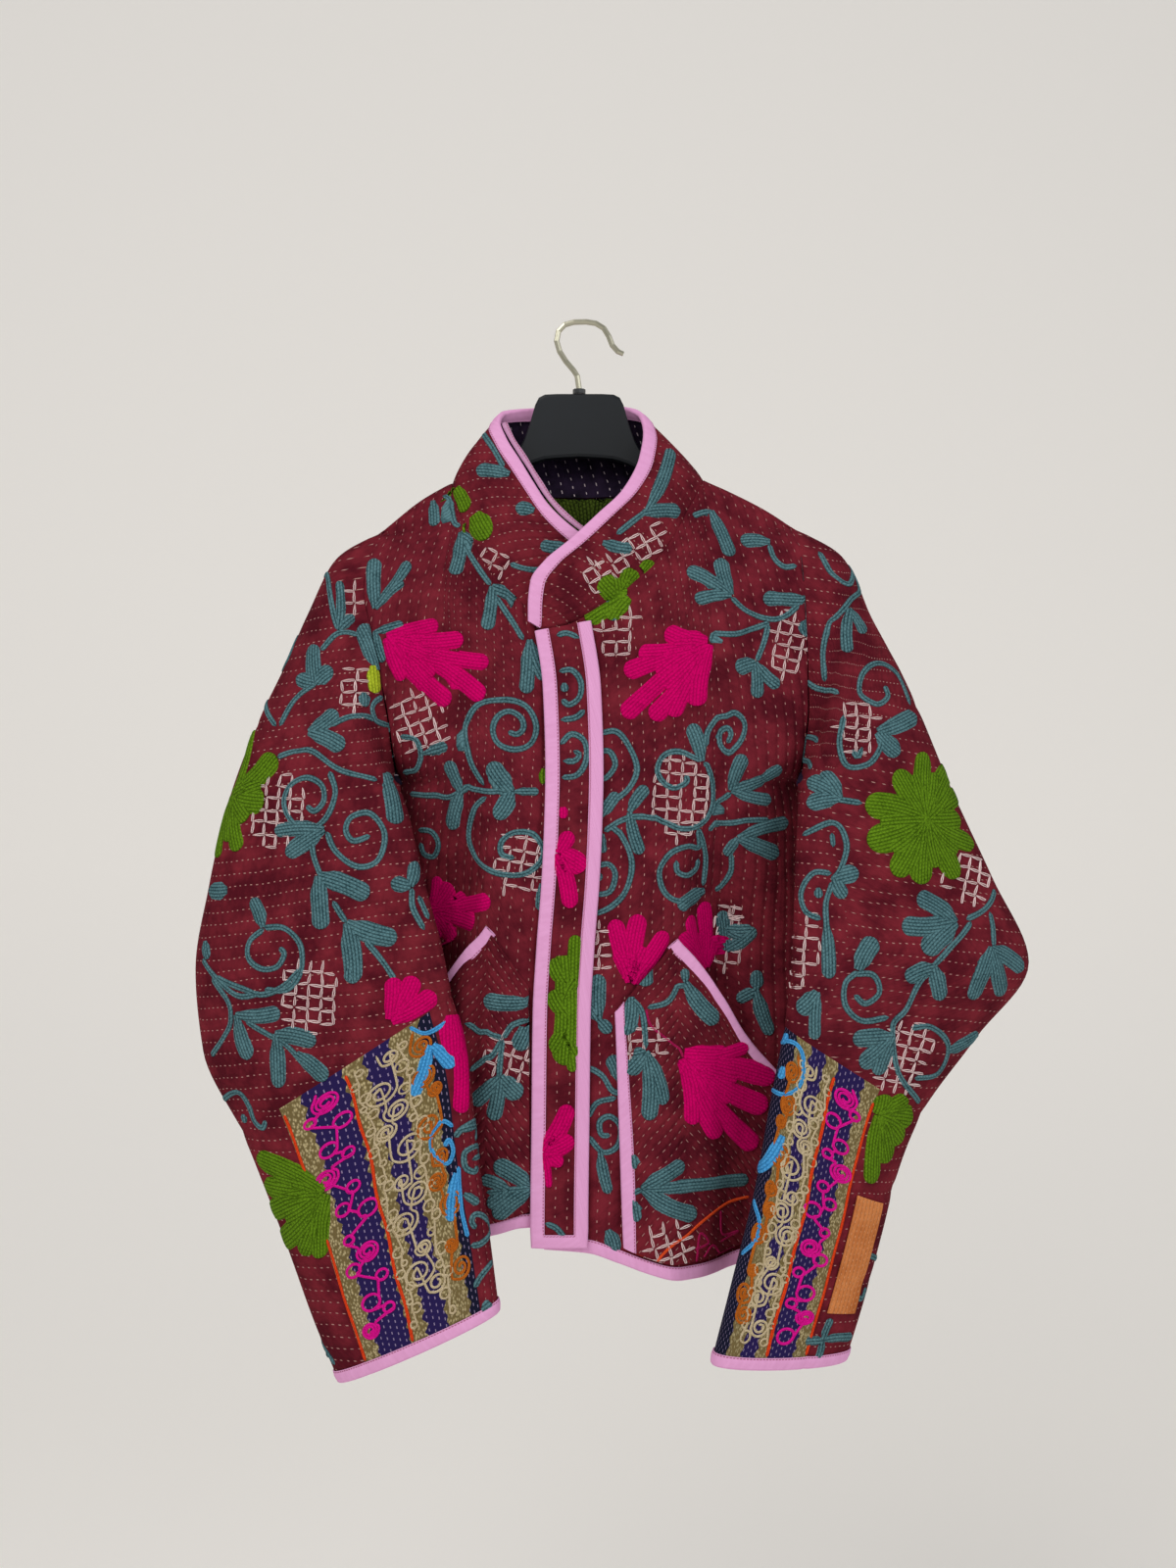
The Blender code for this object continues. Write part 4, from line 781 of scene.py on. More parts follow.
# Sleeves
# Wide sleeves pieced from several quilts: a top, a middle and a forearm joined by slanting seams, a narrow
# strip under the left arm, and embroidered border bands let into the front of the forearms.
# outer X, outer Y, outer down, inner X, inner Y, inner down, front depth, back depth
SLEEVE = {
    "right": (
        (-170, 0, 171, -146, -6, 372, 34, 20), (-202, -2, 191, -148, -18, 373, 37, 22),
        (-225, -6, 236, -149, -29, 374, 36, 23), (-244, -9, 280, -148, -39, 376, 33, 23),
        (-266, -14, 328, -146, -48, 381, 30, 23), (-289, -16, 392, -139, -59, 399, 29, 23),
        (-304, -18, 459, -131, -68, 430, 29, 24), (-314, -20, 523, -122, -74, 463, 30, 24),
        (-307, -24, 589, -112, -80, 498, 30, 24), (-275, -30, 652, -103, -84, 538, 29, 24),
        (-255, -34, 699, -90, -86, 590, 28, 24), (-235, -38, 749, -84, -88, 650, 27, 23),
        (-216, -42, 799, -75, -88, 714, 26, 22), (-196, -46, 845, -67, -86, 778, 25, 21),
    ),
    "left": (
        (171, 0, 167, 169, -6, 372, 34, 20), (208, -2, 190, 170, -18, 373, 37, 22),
        (227, -6, 228, 170, -29, 374.5, 36, 23), (246, -9, 266, 169, -39, 377, 33, 23),
        (267, -14, 312, 168, -48, 382, 30, 23), (295, -16, 380, 166, -59, 408, 29, 23),
        (327, -18, 450, 163, -68, 449, 29, 24), (356, -20, 518, 161, -74, 487, 30, 24),
        (313, -24, 578, 158, -80, 525, 30, 24), (268, -30, 638, 153, -84, 562, 29, 24),
        (248, -34, 685, 141, -86, 625, 28, 24), (235, -38, 732, 129, -88, 690, 27, 23),
        (221, -42, 781, 113, -88, 754, 26, 22), (206, -46, 827, 97, -86, 818, 25, 21),
    ),
}
ARMHOLE_BLEND = 3.0
CROSS_SEAM = 4.0
FOREARM_SEAM = 9.0
CUFF = 13.0
STRIP_TURN = (126, 234)
BORDER_TURN = {"right": (54, 198), "left": (72, 198)}
TURN_STEP = 3
SECTION_STEP = 0.1
BODY_END = CUFF - 0.45     # where the even sections end and those of the cuff's edge start
PIECE_START = (700, 3.7)   # cloth coordinate of the first piece, and what each next one adds
ROW_SLANT = 0.14
BAND_WIDTH = 0.09
BAND_FIT = {"right": 0.72, "left": 0.78}
# side, section, turn in degrees, amount out, sections long, degrees wide
SLEEVE_FOLDS = (
    ("right", 6.5, 95, 4.0, 2.2, 22), ("right", 5.2, 60, -3.0, 1.6, 18),
    ("right", 8.0, 55, 4.0, 1.5, 18), ("right", 3.0, 100, 4.0, 1.2, 20),
    ("right", 7.5, 130, -3.0, 1.5, 16), ("right", 7.0, 270, 4.0, 2.0, 30),
    ("left", 6.0, 85, 4.0, 2.0, 22), ("left", 7.2, 55, 4.0, 1.0, 20),
    ("left", 5.0, 120, -3.0, 1.6, 16), ("left", 3.0, 100, 4.0, 1.2, 20),
    ("left", 8.2, 100, -3.0, 1.2, 20), ("left", 7.0, 270, 4.0, 2.0, 30),
)
# X and down of both ends, half width, amount outwards
SLEEVE_CREASES = {
    "right": ((-176, 200, -163, 310, 5, 2.6), (-188, 211, -176, 318, 5, -2.4),
             (-196, 196, -214, 268, 7, 1.6), (-146, 412, -212, 440, 9, -2.2),
             (-150, 446, -232, 470, 9, 1.8), (-306, 556, -218, 590, 8, -2.6),
             (-292, 606, -222, 618, 8, 2.0), (-130, 470, -186, 520, 8, -1.6),
             (-270, 380, -206, 420, 10, 1.6), (-248, 690, -206, 684, 6, -1.4),
             (-238, 742, -196, 734, 6, -1.4), (-216, 796, -184, 788, 6, -1.2)),
    "left": ((193, 203, 216, 262, 5, 2.6), (182, 219, 200, 290, 5, -2.6), (227, 219, 246, 290, 7, -1.8),
            (174, 348, 167, 520, 6, 2.2), (194, 360, 186, 534, 8, -2.2), (262, 470, 340, 508, 10, -2.4),
            (268, 510, 346, 528, 8, 2.2), (246, 562, 316, 546, 8, -2.4), (206, 440, 262, 424, 10, 1.6),
            (236, 640, 268, 632, 6, -1.4), (226, 700, 250, 694, 6, -1.4), (200, 770, 228, 762, 6, -1.2)),
}
CUFF_BINDING_WIDTH = 8.0
CUFF_PROBE = 0.2       # sections over which the spacing near the cuff is measured
# section and width of the grooves at the seams across a sleeve; width of those along it, in degrees
SEAM_GROOVES = ((CROSS_SEAM, 0.09), (FOREARM_SEAM, 0.09), (0, 0.12))
GROOVE_TURN = 2.4
GROOVE_DEPTH = 0.9
LINE_TURN = 90
BAND_MIDDLE_TURN = 135


def sleeve_point(side, section, turn):
    """Flattened tube: between an outer line (turn 0) and an inner line (180), depth a power of the sine."""
    table = SLEEVE[side]
    outer_x, outer_y, outer_down, inner_x, inner_y, inner_down, front, rear = rows_at(table, section)
    radians = np.radians(turn)
    share = (1 - np.cos(radians)) / 2
    height = np.abs(np.sin(radians)) ** LENS_POWER
    forward = np.sin(radians) > 0
    x = outer_x + (inner_x - outer_x) * share
    down = outer_down + (inner_down - outer_down) * share
    y = outer_y + (inner_y - outer_y) * share + np.where(forward, -front, rear) * height
    top, end = ARMHOLE[side]
    hole = SIGN[side] * side_x(side, top + (end - top) * share)
    first, last = table[0][0], table[0][3]
    x = x + (1 - ease(section / ARMHOLE_BLEND)) * (hole - first - (last - first) * share)
    for fold_side, at, angle, amount, length, width in SLEEVE_FOLDS:
        if fold_side == side:
            push = amount * bell(section, at, length) * bell(turn, angle, width)
            y = y + np.where(forward, -push, push) * height
    return stack(x, y, down)


def ring_normals(points, flip):
    """Outward normals of a grid whose rows close on themselves."""
    wide = np.concatenate([points[:, -1:], points, points[:, :1]], axis=1)
    return grid_normals(wide, flip)[:, 1:-1]


def sleeve_grid(side):
    """Whole sleeve: rows from armhole to cuff with two in the binding, columns all round; grooved seams."""
    turns = np.arange(0, 360, TURN_STEP).astype(float)
    last = np.full_like(turns, CUFF)
    end, before = (sleeve_point(side, last - back, turns) for back in (0, CUFF_PROBE))
    fold = CUFF - CUFF_PROBE * CUFF_BINDING_WIDTH / np.linalg.norm(end - before, axis=-1)
    whole = np.arange(0, BODY_END, SECTION_STEP)
    body = np.repeat(whole[:, None], len(turns), axis=1)
    start = whole[-1]
    ends = [start + (fold - start) * s for s in (1 / 3, 2 / 3, 1)]
    section = np.vstack([body, *ends, (fold + CUFF) / 2, last])
    turn = np.repeat(turns[None], len(section), axis=0)
    points = sleeve_point(side, section, turn)
    normals = ring_normals(points, -SIGN[side])
    press(points, normals, SLEEVE_CREASES[side], -1)
    groove = sum(bell(section, at, width) for at, width in SEAM_GROOVES)
    if side == "left":
        upper = section < FOREARM_SEAM
        groove += upper * (bell(turn, STRIP_TURN[0], GROOVE_TURN) + bell(turn, STRIP_TURN[1], GROOVE_TURN))
    for angle in BORDER_TURN[side]:
        groove += (section > FOREARM_SEAM) * bell(turn, angle, GROOVE_TURN)
    points -= (GROOVE_DEPTH * np.minimum(groove, 1.0))[..., None] * normals
    return points, ring_normals(points, -SIGN[side])


def sleeve_map(side):
    """Cloth coordinates round a sleeve, twice round: the way round from its front line, and the distance
    along a slanting axis, so that the rows of stitches run across the sleeve."""
    points, _, _ = PANELS["sleeve_" + side]
    ring = np.concatenate([points, points, points[:, :1]], axis=1)
    around = distance_run(ring, 1)
    around -= around[:, LINE_TURN // TURN_STEP][:, None]
    along = -ring[..., 2] - SIGN[side] * ROW_SLANT * ring[..., 0]
    return np.stack([around, along], axis=-1) * MM


def sleeve_part(side, name, node, part, rows, turns, start=0.0):
    """Cuts one piece out of the sleeve's grid: a range of sections, and of turns or all round."""
    points, normals, _ = PANELS["sleeve_" + side]
    first, last = rows
    wrap = turns is None
    a, b = (0, points.shape[1]) if wrap else (turns[0] // TURN_STEP, turns[1] // TURN_STEP)
    uv = sleeve_map(side)[first:last + 1, a:b + 1] + start * MM
    if part == "border":
        run = distance_run(points[first:last + 1, BAND_MIDDLE_TURN // TURN_STEP]) * MM
        across = np.linspace(0, BAND_WIDTH / BAND_FIT[side], b + 1 - a)
        uv = np.stack(np.broadcast_arrays(run[:, None], across[None]), axis=-1)
    columns = np.arange(a, b + (0 if wrap else 1)) % points.shape[1]
    outer, out = points[first:last + 1][:, columns], normals[first:last + 1][:, columns]
    cloth(name, node, part, outer, out, uv, [ACROSS, REVERSE], wrap=wrap)


def build_sleeve(side):
    """The sleeve's pieces, one after the other from the armhole, and the binding of the cuff."""
    points, normals = sleeve_grid(side)
    PANELS["sleeve_" + side] = (points, normals, True)
    cross, forearm = round(CROSS_SEAM / SECTION_STEP), round(FOREARM_SEAM / SECTION_STEP)
    end = len(points) - 1
    if side == "right":
        parts = [("top", "sleeve_right_top", (0, cross), None),
                 ("middle", "sleeve_right_middle", (cross, forearm), None)]
    else:
        round_arm = (STRIP_TURN[1], 360 + STRIP_TURN[0])
        parts = [("top", "sleeve_left_top", (0, cross), round_arm),
                 ("middle", "sleeve_left_middle", (cross, forearm), round_arm),
                 ("strip", "sleeve_left_strip", (0, forearm), STRIP_TURN)]
    first, last = BORDER_TURN[side]
    parts += [("forearm", "forearm_" + side, (forearm, end), (last, 360 + first))]
    for index, (word, node, rows, turns) in enumerate(parts):
        start = PIECE_START[1] * index + PIECE_START[0]
        sleeve_part(side, side + "_" + word + "_cloth", node, "cloth", rows, turns, start)
    sleeve_part(side, "border_" + side + "_cloth", "border_" + side, "border", (forearm, end), (first, last))
    edge, inner = points[-1], points[-3]
    binding("cuff_" + side + "_bias", "cuff_" + side + "_binding", edge, normals[-1], unit(edge - inner),
            inner, WALL, closed=True)


for side in SIGN:
    build_sleeve(side)

# Hanger
# Moulded black plastic: a broad hollow neck plate between two sloping arms, with a satin finish, and a
# swivelling hook of bent nickel-plated wire that the object hangs by.
SWIVEL_CAP = -52.6     # below this level the hook is its black swivel cap
black_plastic, shader, add = new_material("black_moulded_plastic", Roughness=0.45, Specular_IOR_Level=0.3)
body = add("TexCoord").outputs["Object"]
grain = add("TexNoise", body, Scale=900.0, Detail=2.0)
film = add("TexNoise", body, Scale=22.0, Detail=3.0)
dusty = add("Mix", film, colour("#090D11"), colour("#12181E"), data_type="RGBA")
feed(shader, Base_Color=dusty, Normal=add("Bump", Strength=0.12, Distance=0.0003, Height=grain))
nickel, shader, add = new_material("nickel_plated_wire")
body = add("TexCoord").outputs["Object"]
rub = add("TexNoise", body, Scale=160.0, Detail=3.0)
bare = add("Math GREATER_THAN", add("SeparateXYZ", body).outputs[2], SWIVEL_CAP * MM)
plated = add("Mix", bare, colour("#0B0F13"), colour("#B9B6A2"), data_type="RGBA")
feed(shader, Base_Color=plated, Metallic=bare, Roughness=add("MapRange", rub, 0.0, 1.0, 0.22, 0.42))
for node, material in (("hanger_body", black_plastic), ("hanger_hook", nickel)):
    piece = bpy.data.objects[node]
    piece.data.materials.clear()
    piece.data.materials.append(material)

# Embroidery
# Thick wool chain stitch, worked row beside row until each lobe is filled: rounded leaves in pairs, winding
# stems and curls, and broad many-fingered flowers. It stands a little over a millimetre above the quilt.
RING = np.array([-1.0, -0.8, -0.3, 0.3, 0.8, 1.0, 0.9, -0.9])
RING_HEIGHT = np.array([0.0, 0.72, 1.0, 1.0, 0.72, 0.0, -0.3, -0.3])
LEAF_ROWS = 15
STEM_HALF = 2.4
STEM_SHARE = 0.85      # height of a stem as a share of its leaves' height
GRID_STEP = 2.6    # least spacing of the grid rows that the stitches are placed on
MARCH = 16
LAST_STEPS = 4
LONGEST_STEP = 2.0     # in grid cells
LONGEST_WALK = 3.0
EDGE_ON = 0.5          # cells seen thinner than this are not stepped over: NO_STEP divides the step away
NO_STEP = 1e9
LEAST_CELL = 0.05
WALK_STEPS = 4
LEAF_CROWD = 1.8       # crowds a leaf's rows towards its tip
LEAF_BEND = 0.05
ROUND_TIP = 0.45       # the most of a leaf's length that its round tip takes
OPENING = 0.36         # share of a leaf's length over which it widens
WOBBLE = 0.07          # unevenness of a stem's width
BEHIND = 1e6       # makes points that face away from the front too far to be found

for panel, (points, normals, wrap) in PANELS.items():
    level = np.linalg.norm(np.diff(points, axis=0), axis=-1).mean(axis=1).cumsum()
    picked = np.searchsorted(level, np.arange(0, level[-1], GRID_STEP)) + 1
    rows = np.unique(np.append(picked, (0, len(level))))
    PANELS[panel] = (points[rows], normals[rows], wrap)


def surface(panel, i, j):
    """Place, normal and the two edge vectors at fractional grid indices: bilinear mixing."""
    points, normals, wrap = PANELS[panel]
    rows, columns = points.shape[:2]
    i = np.clip(i, 0, rows - 1.001)
    j = np.mod(j, columns) if wrap else np.clip(j, 0, columns - 1.001)
    a, b = np.floor(i).astype(int), np.floor(j).astype(int)
    s, t = (i - a)[..., None], (j - b)[..., None]
    b, c = b % columns, (b + 1) % columns
    p, q, r, w = points[a, b], points[a, c], points[a + 1, b], points[a + 1, c]
    place = (p * (1 - t) + q * t) * (1 - s) + (r * (1 - t) + w * t) * s
    down = (r - p) * (1 - t) + (w - q) * t
    across = (q - p) * (1 - s) + (w - r) * s
    normal = (normals[a, b] * (1 - t) + normals[a, c] * t) * (1 - s)
    normal = unit(normal + (normals[a + 1, b] * (1 - t) + normals[a + 1, c] * t) * s)
    return place, normal, down, across


def dot(a, b):
    """Dot products along the last axis."""
    return np.einsum("...k,...k->...", a, b)


def reach(panel, i, j, x, down, steps=MARCH):
    """Grid indices of places given as X and down: marched there from known indices by Newton steps in
    the two directions of the grid."""
    start = surface(panel, i, j)[0]
    for share in [*np.linspace(1 / steps, 1, steps), *[1.0] * LAST_STEPS]:
        place, _, d, a = surface(panel, i, j)
        ex = start[..., 0] + (x - start[..., 0]) * share - place[..., 0]
        ez = start[..., 2] + (-down - start[..., 2]) * share - place[..., 2]
        det = d[..., 0] * a[..., 2] - d[..., 2] * a[..., 0]
        det = np.where(np.abs(det) < EDGE_ON, NO_STEP, det)
        i = i + np.clip((ex * a[..., 2] - ez * a[..., 0]) / det, -LONGEST_STEP, LONGEST_STEP)
        j = j + np.clip((ez * d[..., 0] - ex * d[..., 2]) / det, -LONGEST_STEP, LONGEST_STEP)
    return i, j


def find(panel, x, down):
    """Grid indices of places given as X and down, from the nearest point that faces the front."""
    points, normals, _ = PANELS[panel]
    x, down = np.asarray(x, float), np.asarray(down, float)
    away = (points[..., 0] - x[:, None, None]) ** 2 + (points[..., 2] + down[:, None, None]) ** 2
    away = away + np.where(normals[..., 1] < 0.1, 0, BEHIND)
    near = away.reshape(len(x), -1).argmin(axis=1)
    i, j = (part.astype(float) for part in np.unravel_index(near, points.shape[:2]))
    return reach(panel, i, j, x, down, 1)


def walk(panel, i, j, heading):
    """Straight walk over the surface: the arrow is turned into the surface after every short step."""
    i, j = np.array(i, float), np.array(j, float)
    length = np.linalg.norm(heading, axis=-1) / WALK_STEPS
    heading = unit(heading)
    for _ in range(WALK_STEPS):
        _, normal, down, across = surface(panel, i, j)
        heading = unit(heading - dot(heading, normal)[..., None] * normal)
        dd, aa, da = dot(down, down), dot(across, across), dot(down, across)
        hd, ha = dot(heading, down) * length, dot(heading, across) * length
        det = np.maximum(dd * aa - da * da, LEAST_CELL)
        i = i + np.clip((hd * aa - ha * da) / det, -LONGEST_WALK, LONGEST_WALK)
        j = j + np.clip((ha * dd - hd * da) / det, -LONGEST_WALK, LONGEST_WALK)
    return i, j


def strip(panel, i, j, half_at, rise, fullness=1.0, near=1):
    """Crowned strips along places given as grid indices: each ring of points is walked out to both
    sides and raised by its height. Also returns the cloth coordinates: distance along and from the middle."""
    place, normal, _, _ = surface(panel, i, j)
    run = distance_run(place, place.ndim - 2)
    row, last = np.arange(place.shape[-2]), place.shape[-2] - 1
    ahead = place[..., np.minimum(row + near, last), :] - place[..., np.maximum(row - near, 0), :]
    sideways = unit(np.cross(normal, ahead))
    arrows = sideways[..., None, :] * (half_at[..., None] * RING)[..., None]
    lift = np.where(RING_HEIGHT >= 0, rise[..., None] * np.abs(RING_HEIGHT) ** fullness, 1.1 * RING_HEIGHT)
    i, j = np.broadcast_to(i[..., None], lift.shape), np.broadcast_to(j[..., None], lift.shape)
    i, j = walk(panel, i, j, arrows)
    place, normal, _, _ = surface(panel, i, j)
    uv = np.stack(np.broadcast_arrays(run[..., None], half_at[..., None] * RING), axis=-1)
    return place + lift[..., None] * normal, uv * MM


def leaves(panel, rows, height, base_half, fullness=1.0):
    """Rounded lobes from a base to a tip: half width eases up over a third of the length, then closes on
    a quarter circle. Returns points and cloth coordinates, one grid for each lobe."""
    base_x, base_down, tip_x, tip_down, wide = (column(rows, k)[:, None] for k in range(5))
    share = 1 - (1 - np.linspace(0, 1, LEAF_ROWS)[None]) ** LEAF_CROWD
    ahead_x, ahead_down = tip_x - base_x, tip_down - base_down
    bend = LEAF_BEND * np.sin(math.pi * share) * np.sin(base_x * 1.7 + tip_down)
    x = base_x + ahead_x * share + ahead_down * bend
    down = base_down + ahead_down * share - ahead_x * bend
    i, j = find(panel, base_x[:, 0], base_down[:, 0])
    i, j = reach(panel, i[:, None] + 0 * x, j[:, None] + 0 * x, x, down)
    run = distance_run(surface(panel, i, j)[0], 1)
    length = run[:, -1:]
    round_end = np.minimum(wide / 2, length * ROUND_TIP)
    left = np.clip((length - run) / round_end, 0, 1)
    closing = np.sqrt(np.clip(1 - (1 - left) ** 2, 0.002, 1))
    opening = base_half + (1 - base_half) * ease(share / OPENING)
    half_at = wide / 2 * opening * closing * (1 + 0.05 * np.sin(7 * share + base_x))
    return strip(panel, i, j, half_at, height * np.minimum(half_at / 1.6, 1.0) ** 0.6, fullness, 3)


def smooth_path(values, count):
    """Catmull-Rom curve through the values, `count` places in all."""
    at = np.linspace(0, len(values) - 1, count)
    cell = np.clip(at.astype(int), 0, len(values) - 2)
    return hermite(values, np.gradient(values), cell, at - cell)


def trail(panel, i, j, height, half, seed=0.0):
    """Strip of even width along a smooth curve through grid indices, rounded at both ends."""
    if PANELS[panel][2]:
        around = PANELS[panel][0].shape[1]
        j = j[0] + np.cumsum(np.concatenate([[0], (np.diff(j) + around / 2) % around - around / 2]))
    count = max(6, int(distance_run(surface(panel, i, j)[0])[-1] / max(1.1, half)))
    i, j = smooth_path(i, count), smooth_path(j, count)
    run = distance_run(surface(panel, i, j)[0])
    ends = np.minimum(run, run[-1] - run) / half
    half_at = half * np.sqrt(np.clip(1 - (1 - np.minimum(ends, 1)) ** 2, 0.02, 1))
    half_at = half_at * (1 + WOBBLE * np.sin(run / 5 + seed))
    points, uv = strip(panel, i, j, half_at, height * np.minimum(half_at / half, 1.0) ** 0.5)
    return points[None], uv[None]


def stem(panel, path, height, half):
    """Stem through places given as X, down, X, down and so on."""
    return trail(panel, *find(panel, path[0::2], path[1::2]), height, half, path[0])


def relief(name, batches, material):
    """Joins strips into one piece: quads between the rings of each strip, and a cap of three at its ends."""
    points, faces, corners, start = [], [], [], 0
    for grid, uv in batches:
        count, rows, around = grid.shape[:3]
        ids = np.arange(count * rows * around).reshape(count, rows, around)
        turned = np.roll(ids, -1, axis=2)
        quads = np.stack([ids[:, :-1], ids[:, 1:], turned[:, 1:], turned[:, :-1]], axis=-1).reshape(-1, 4)
        first, last = ids[:, 0], ids[:, -1, ::-1]
        half = around // 2
        caps = [end[:, [k, k + 1, around - 2 - k, around - 1 - k]] for end in (first, last)
                for k in range(half - 1)]
        block = np.vstack([quads, *caps])
        points.append(grid.reshape(-1, 3))
        faces.append(block + start)
        corners.append(uv.reshape(-1, 2)[block])
        start += count * rows * around
    points, faces, corners = np.vstack(points), np.vstack(faces), np.vstack(corners)
    piece = mesh_object(name, points, faces.tolist(), corners, np.zeros(len(faces)), [material])
    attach(piece, "root")


def wool(name, bright, deep, row, pitch, strength):
    """Matt twisted wool in chain stitch: rows `row` mm wide follow the outline, each a string of rounded
    loops `pitch` mm long, with a soft nap on top. Single fibres are too fine and are left out."""
    material, shader, add = new_material(name, Roughness=0.95, Specular_IOR_Level=0.06)
    flat = add("UVMap", uv_map="cloth")
    place = add("SeparateXYZ", add("VectorMath MULTIPLY", flat, (1000 / pitch, 1000 / row, 0)))
    lane = add("Math ABSOLUTE", add("Math SUBTRACT", add("Math FRACT", place.outputs[1]), 0.5))
    shift = add("Math MULTIPLY_ADD", add("Math FLOOR", place.outputs[1]), 0.43, place)
    beat = add("Math FRACT", add("Math MULTIPLY_ADD", lane, 0.9, shift))
    loop = add("Math SINE", add("Math MULTIPLY", beat, math.pi))
    loop = add("Math MULTIPLY_ADD", loop, 0.5, 0.5)
    crown = add("MapRange", lane, 0.2, 0.5, 1.0, 0.15, interpolation_type="SMOOTHSTEP")
    high = add("Math MULTIPLY", loop, crown)
    body = add("TexCoord").outputs["Object"]
    nap = add("TexNoise", body, Scale=560.0, Detail=2.0)
    dye = add("TexNoise", body, Scale=90.0, Detail=3.0)
    # The colour follows the loops' height: lighter on their crowns, darker down between loops and rows, which
    # is painted shade. The dye noise adds random tone.
    tone = add("Math MULTIPLY_ADD", dye, 0.7, add("Math MULTIPLY_ADD", nap, 1.5, high))
    tone = add("MapRange", tone, 1.0, 2.2)
    painted = add("Mix", tone, colour(deep), colour(bright), data_type="RGBA")
    height = add("Math MULTIPLY_ADD", nap, 0.35, high)
    feed(shader, Base_Color=painted, Normal=add("Bump", Strength=strength, Distance=0.0009, Height=height))
    return material


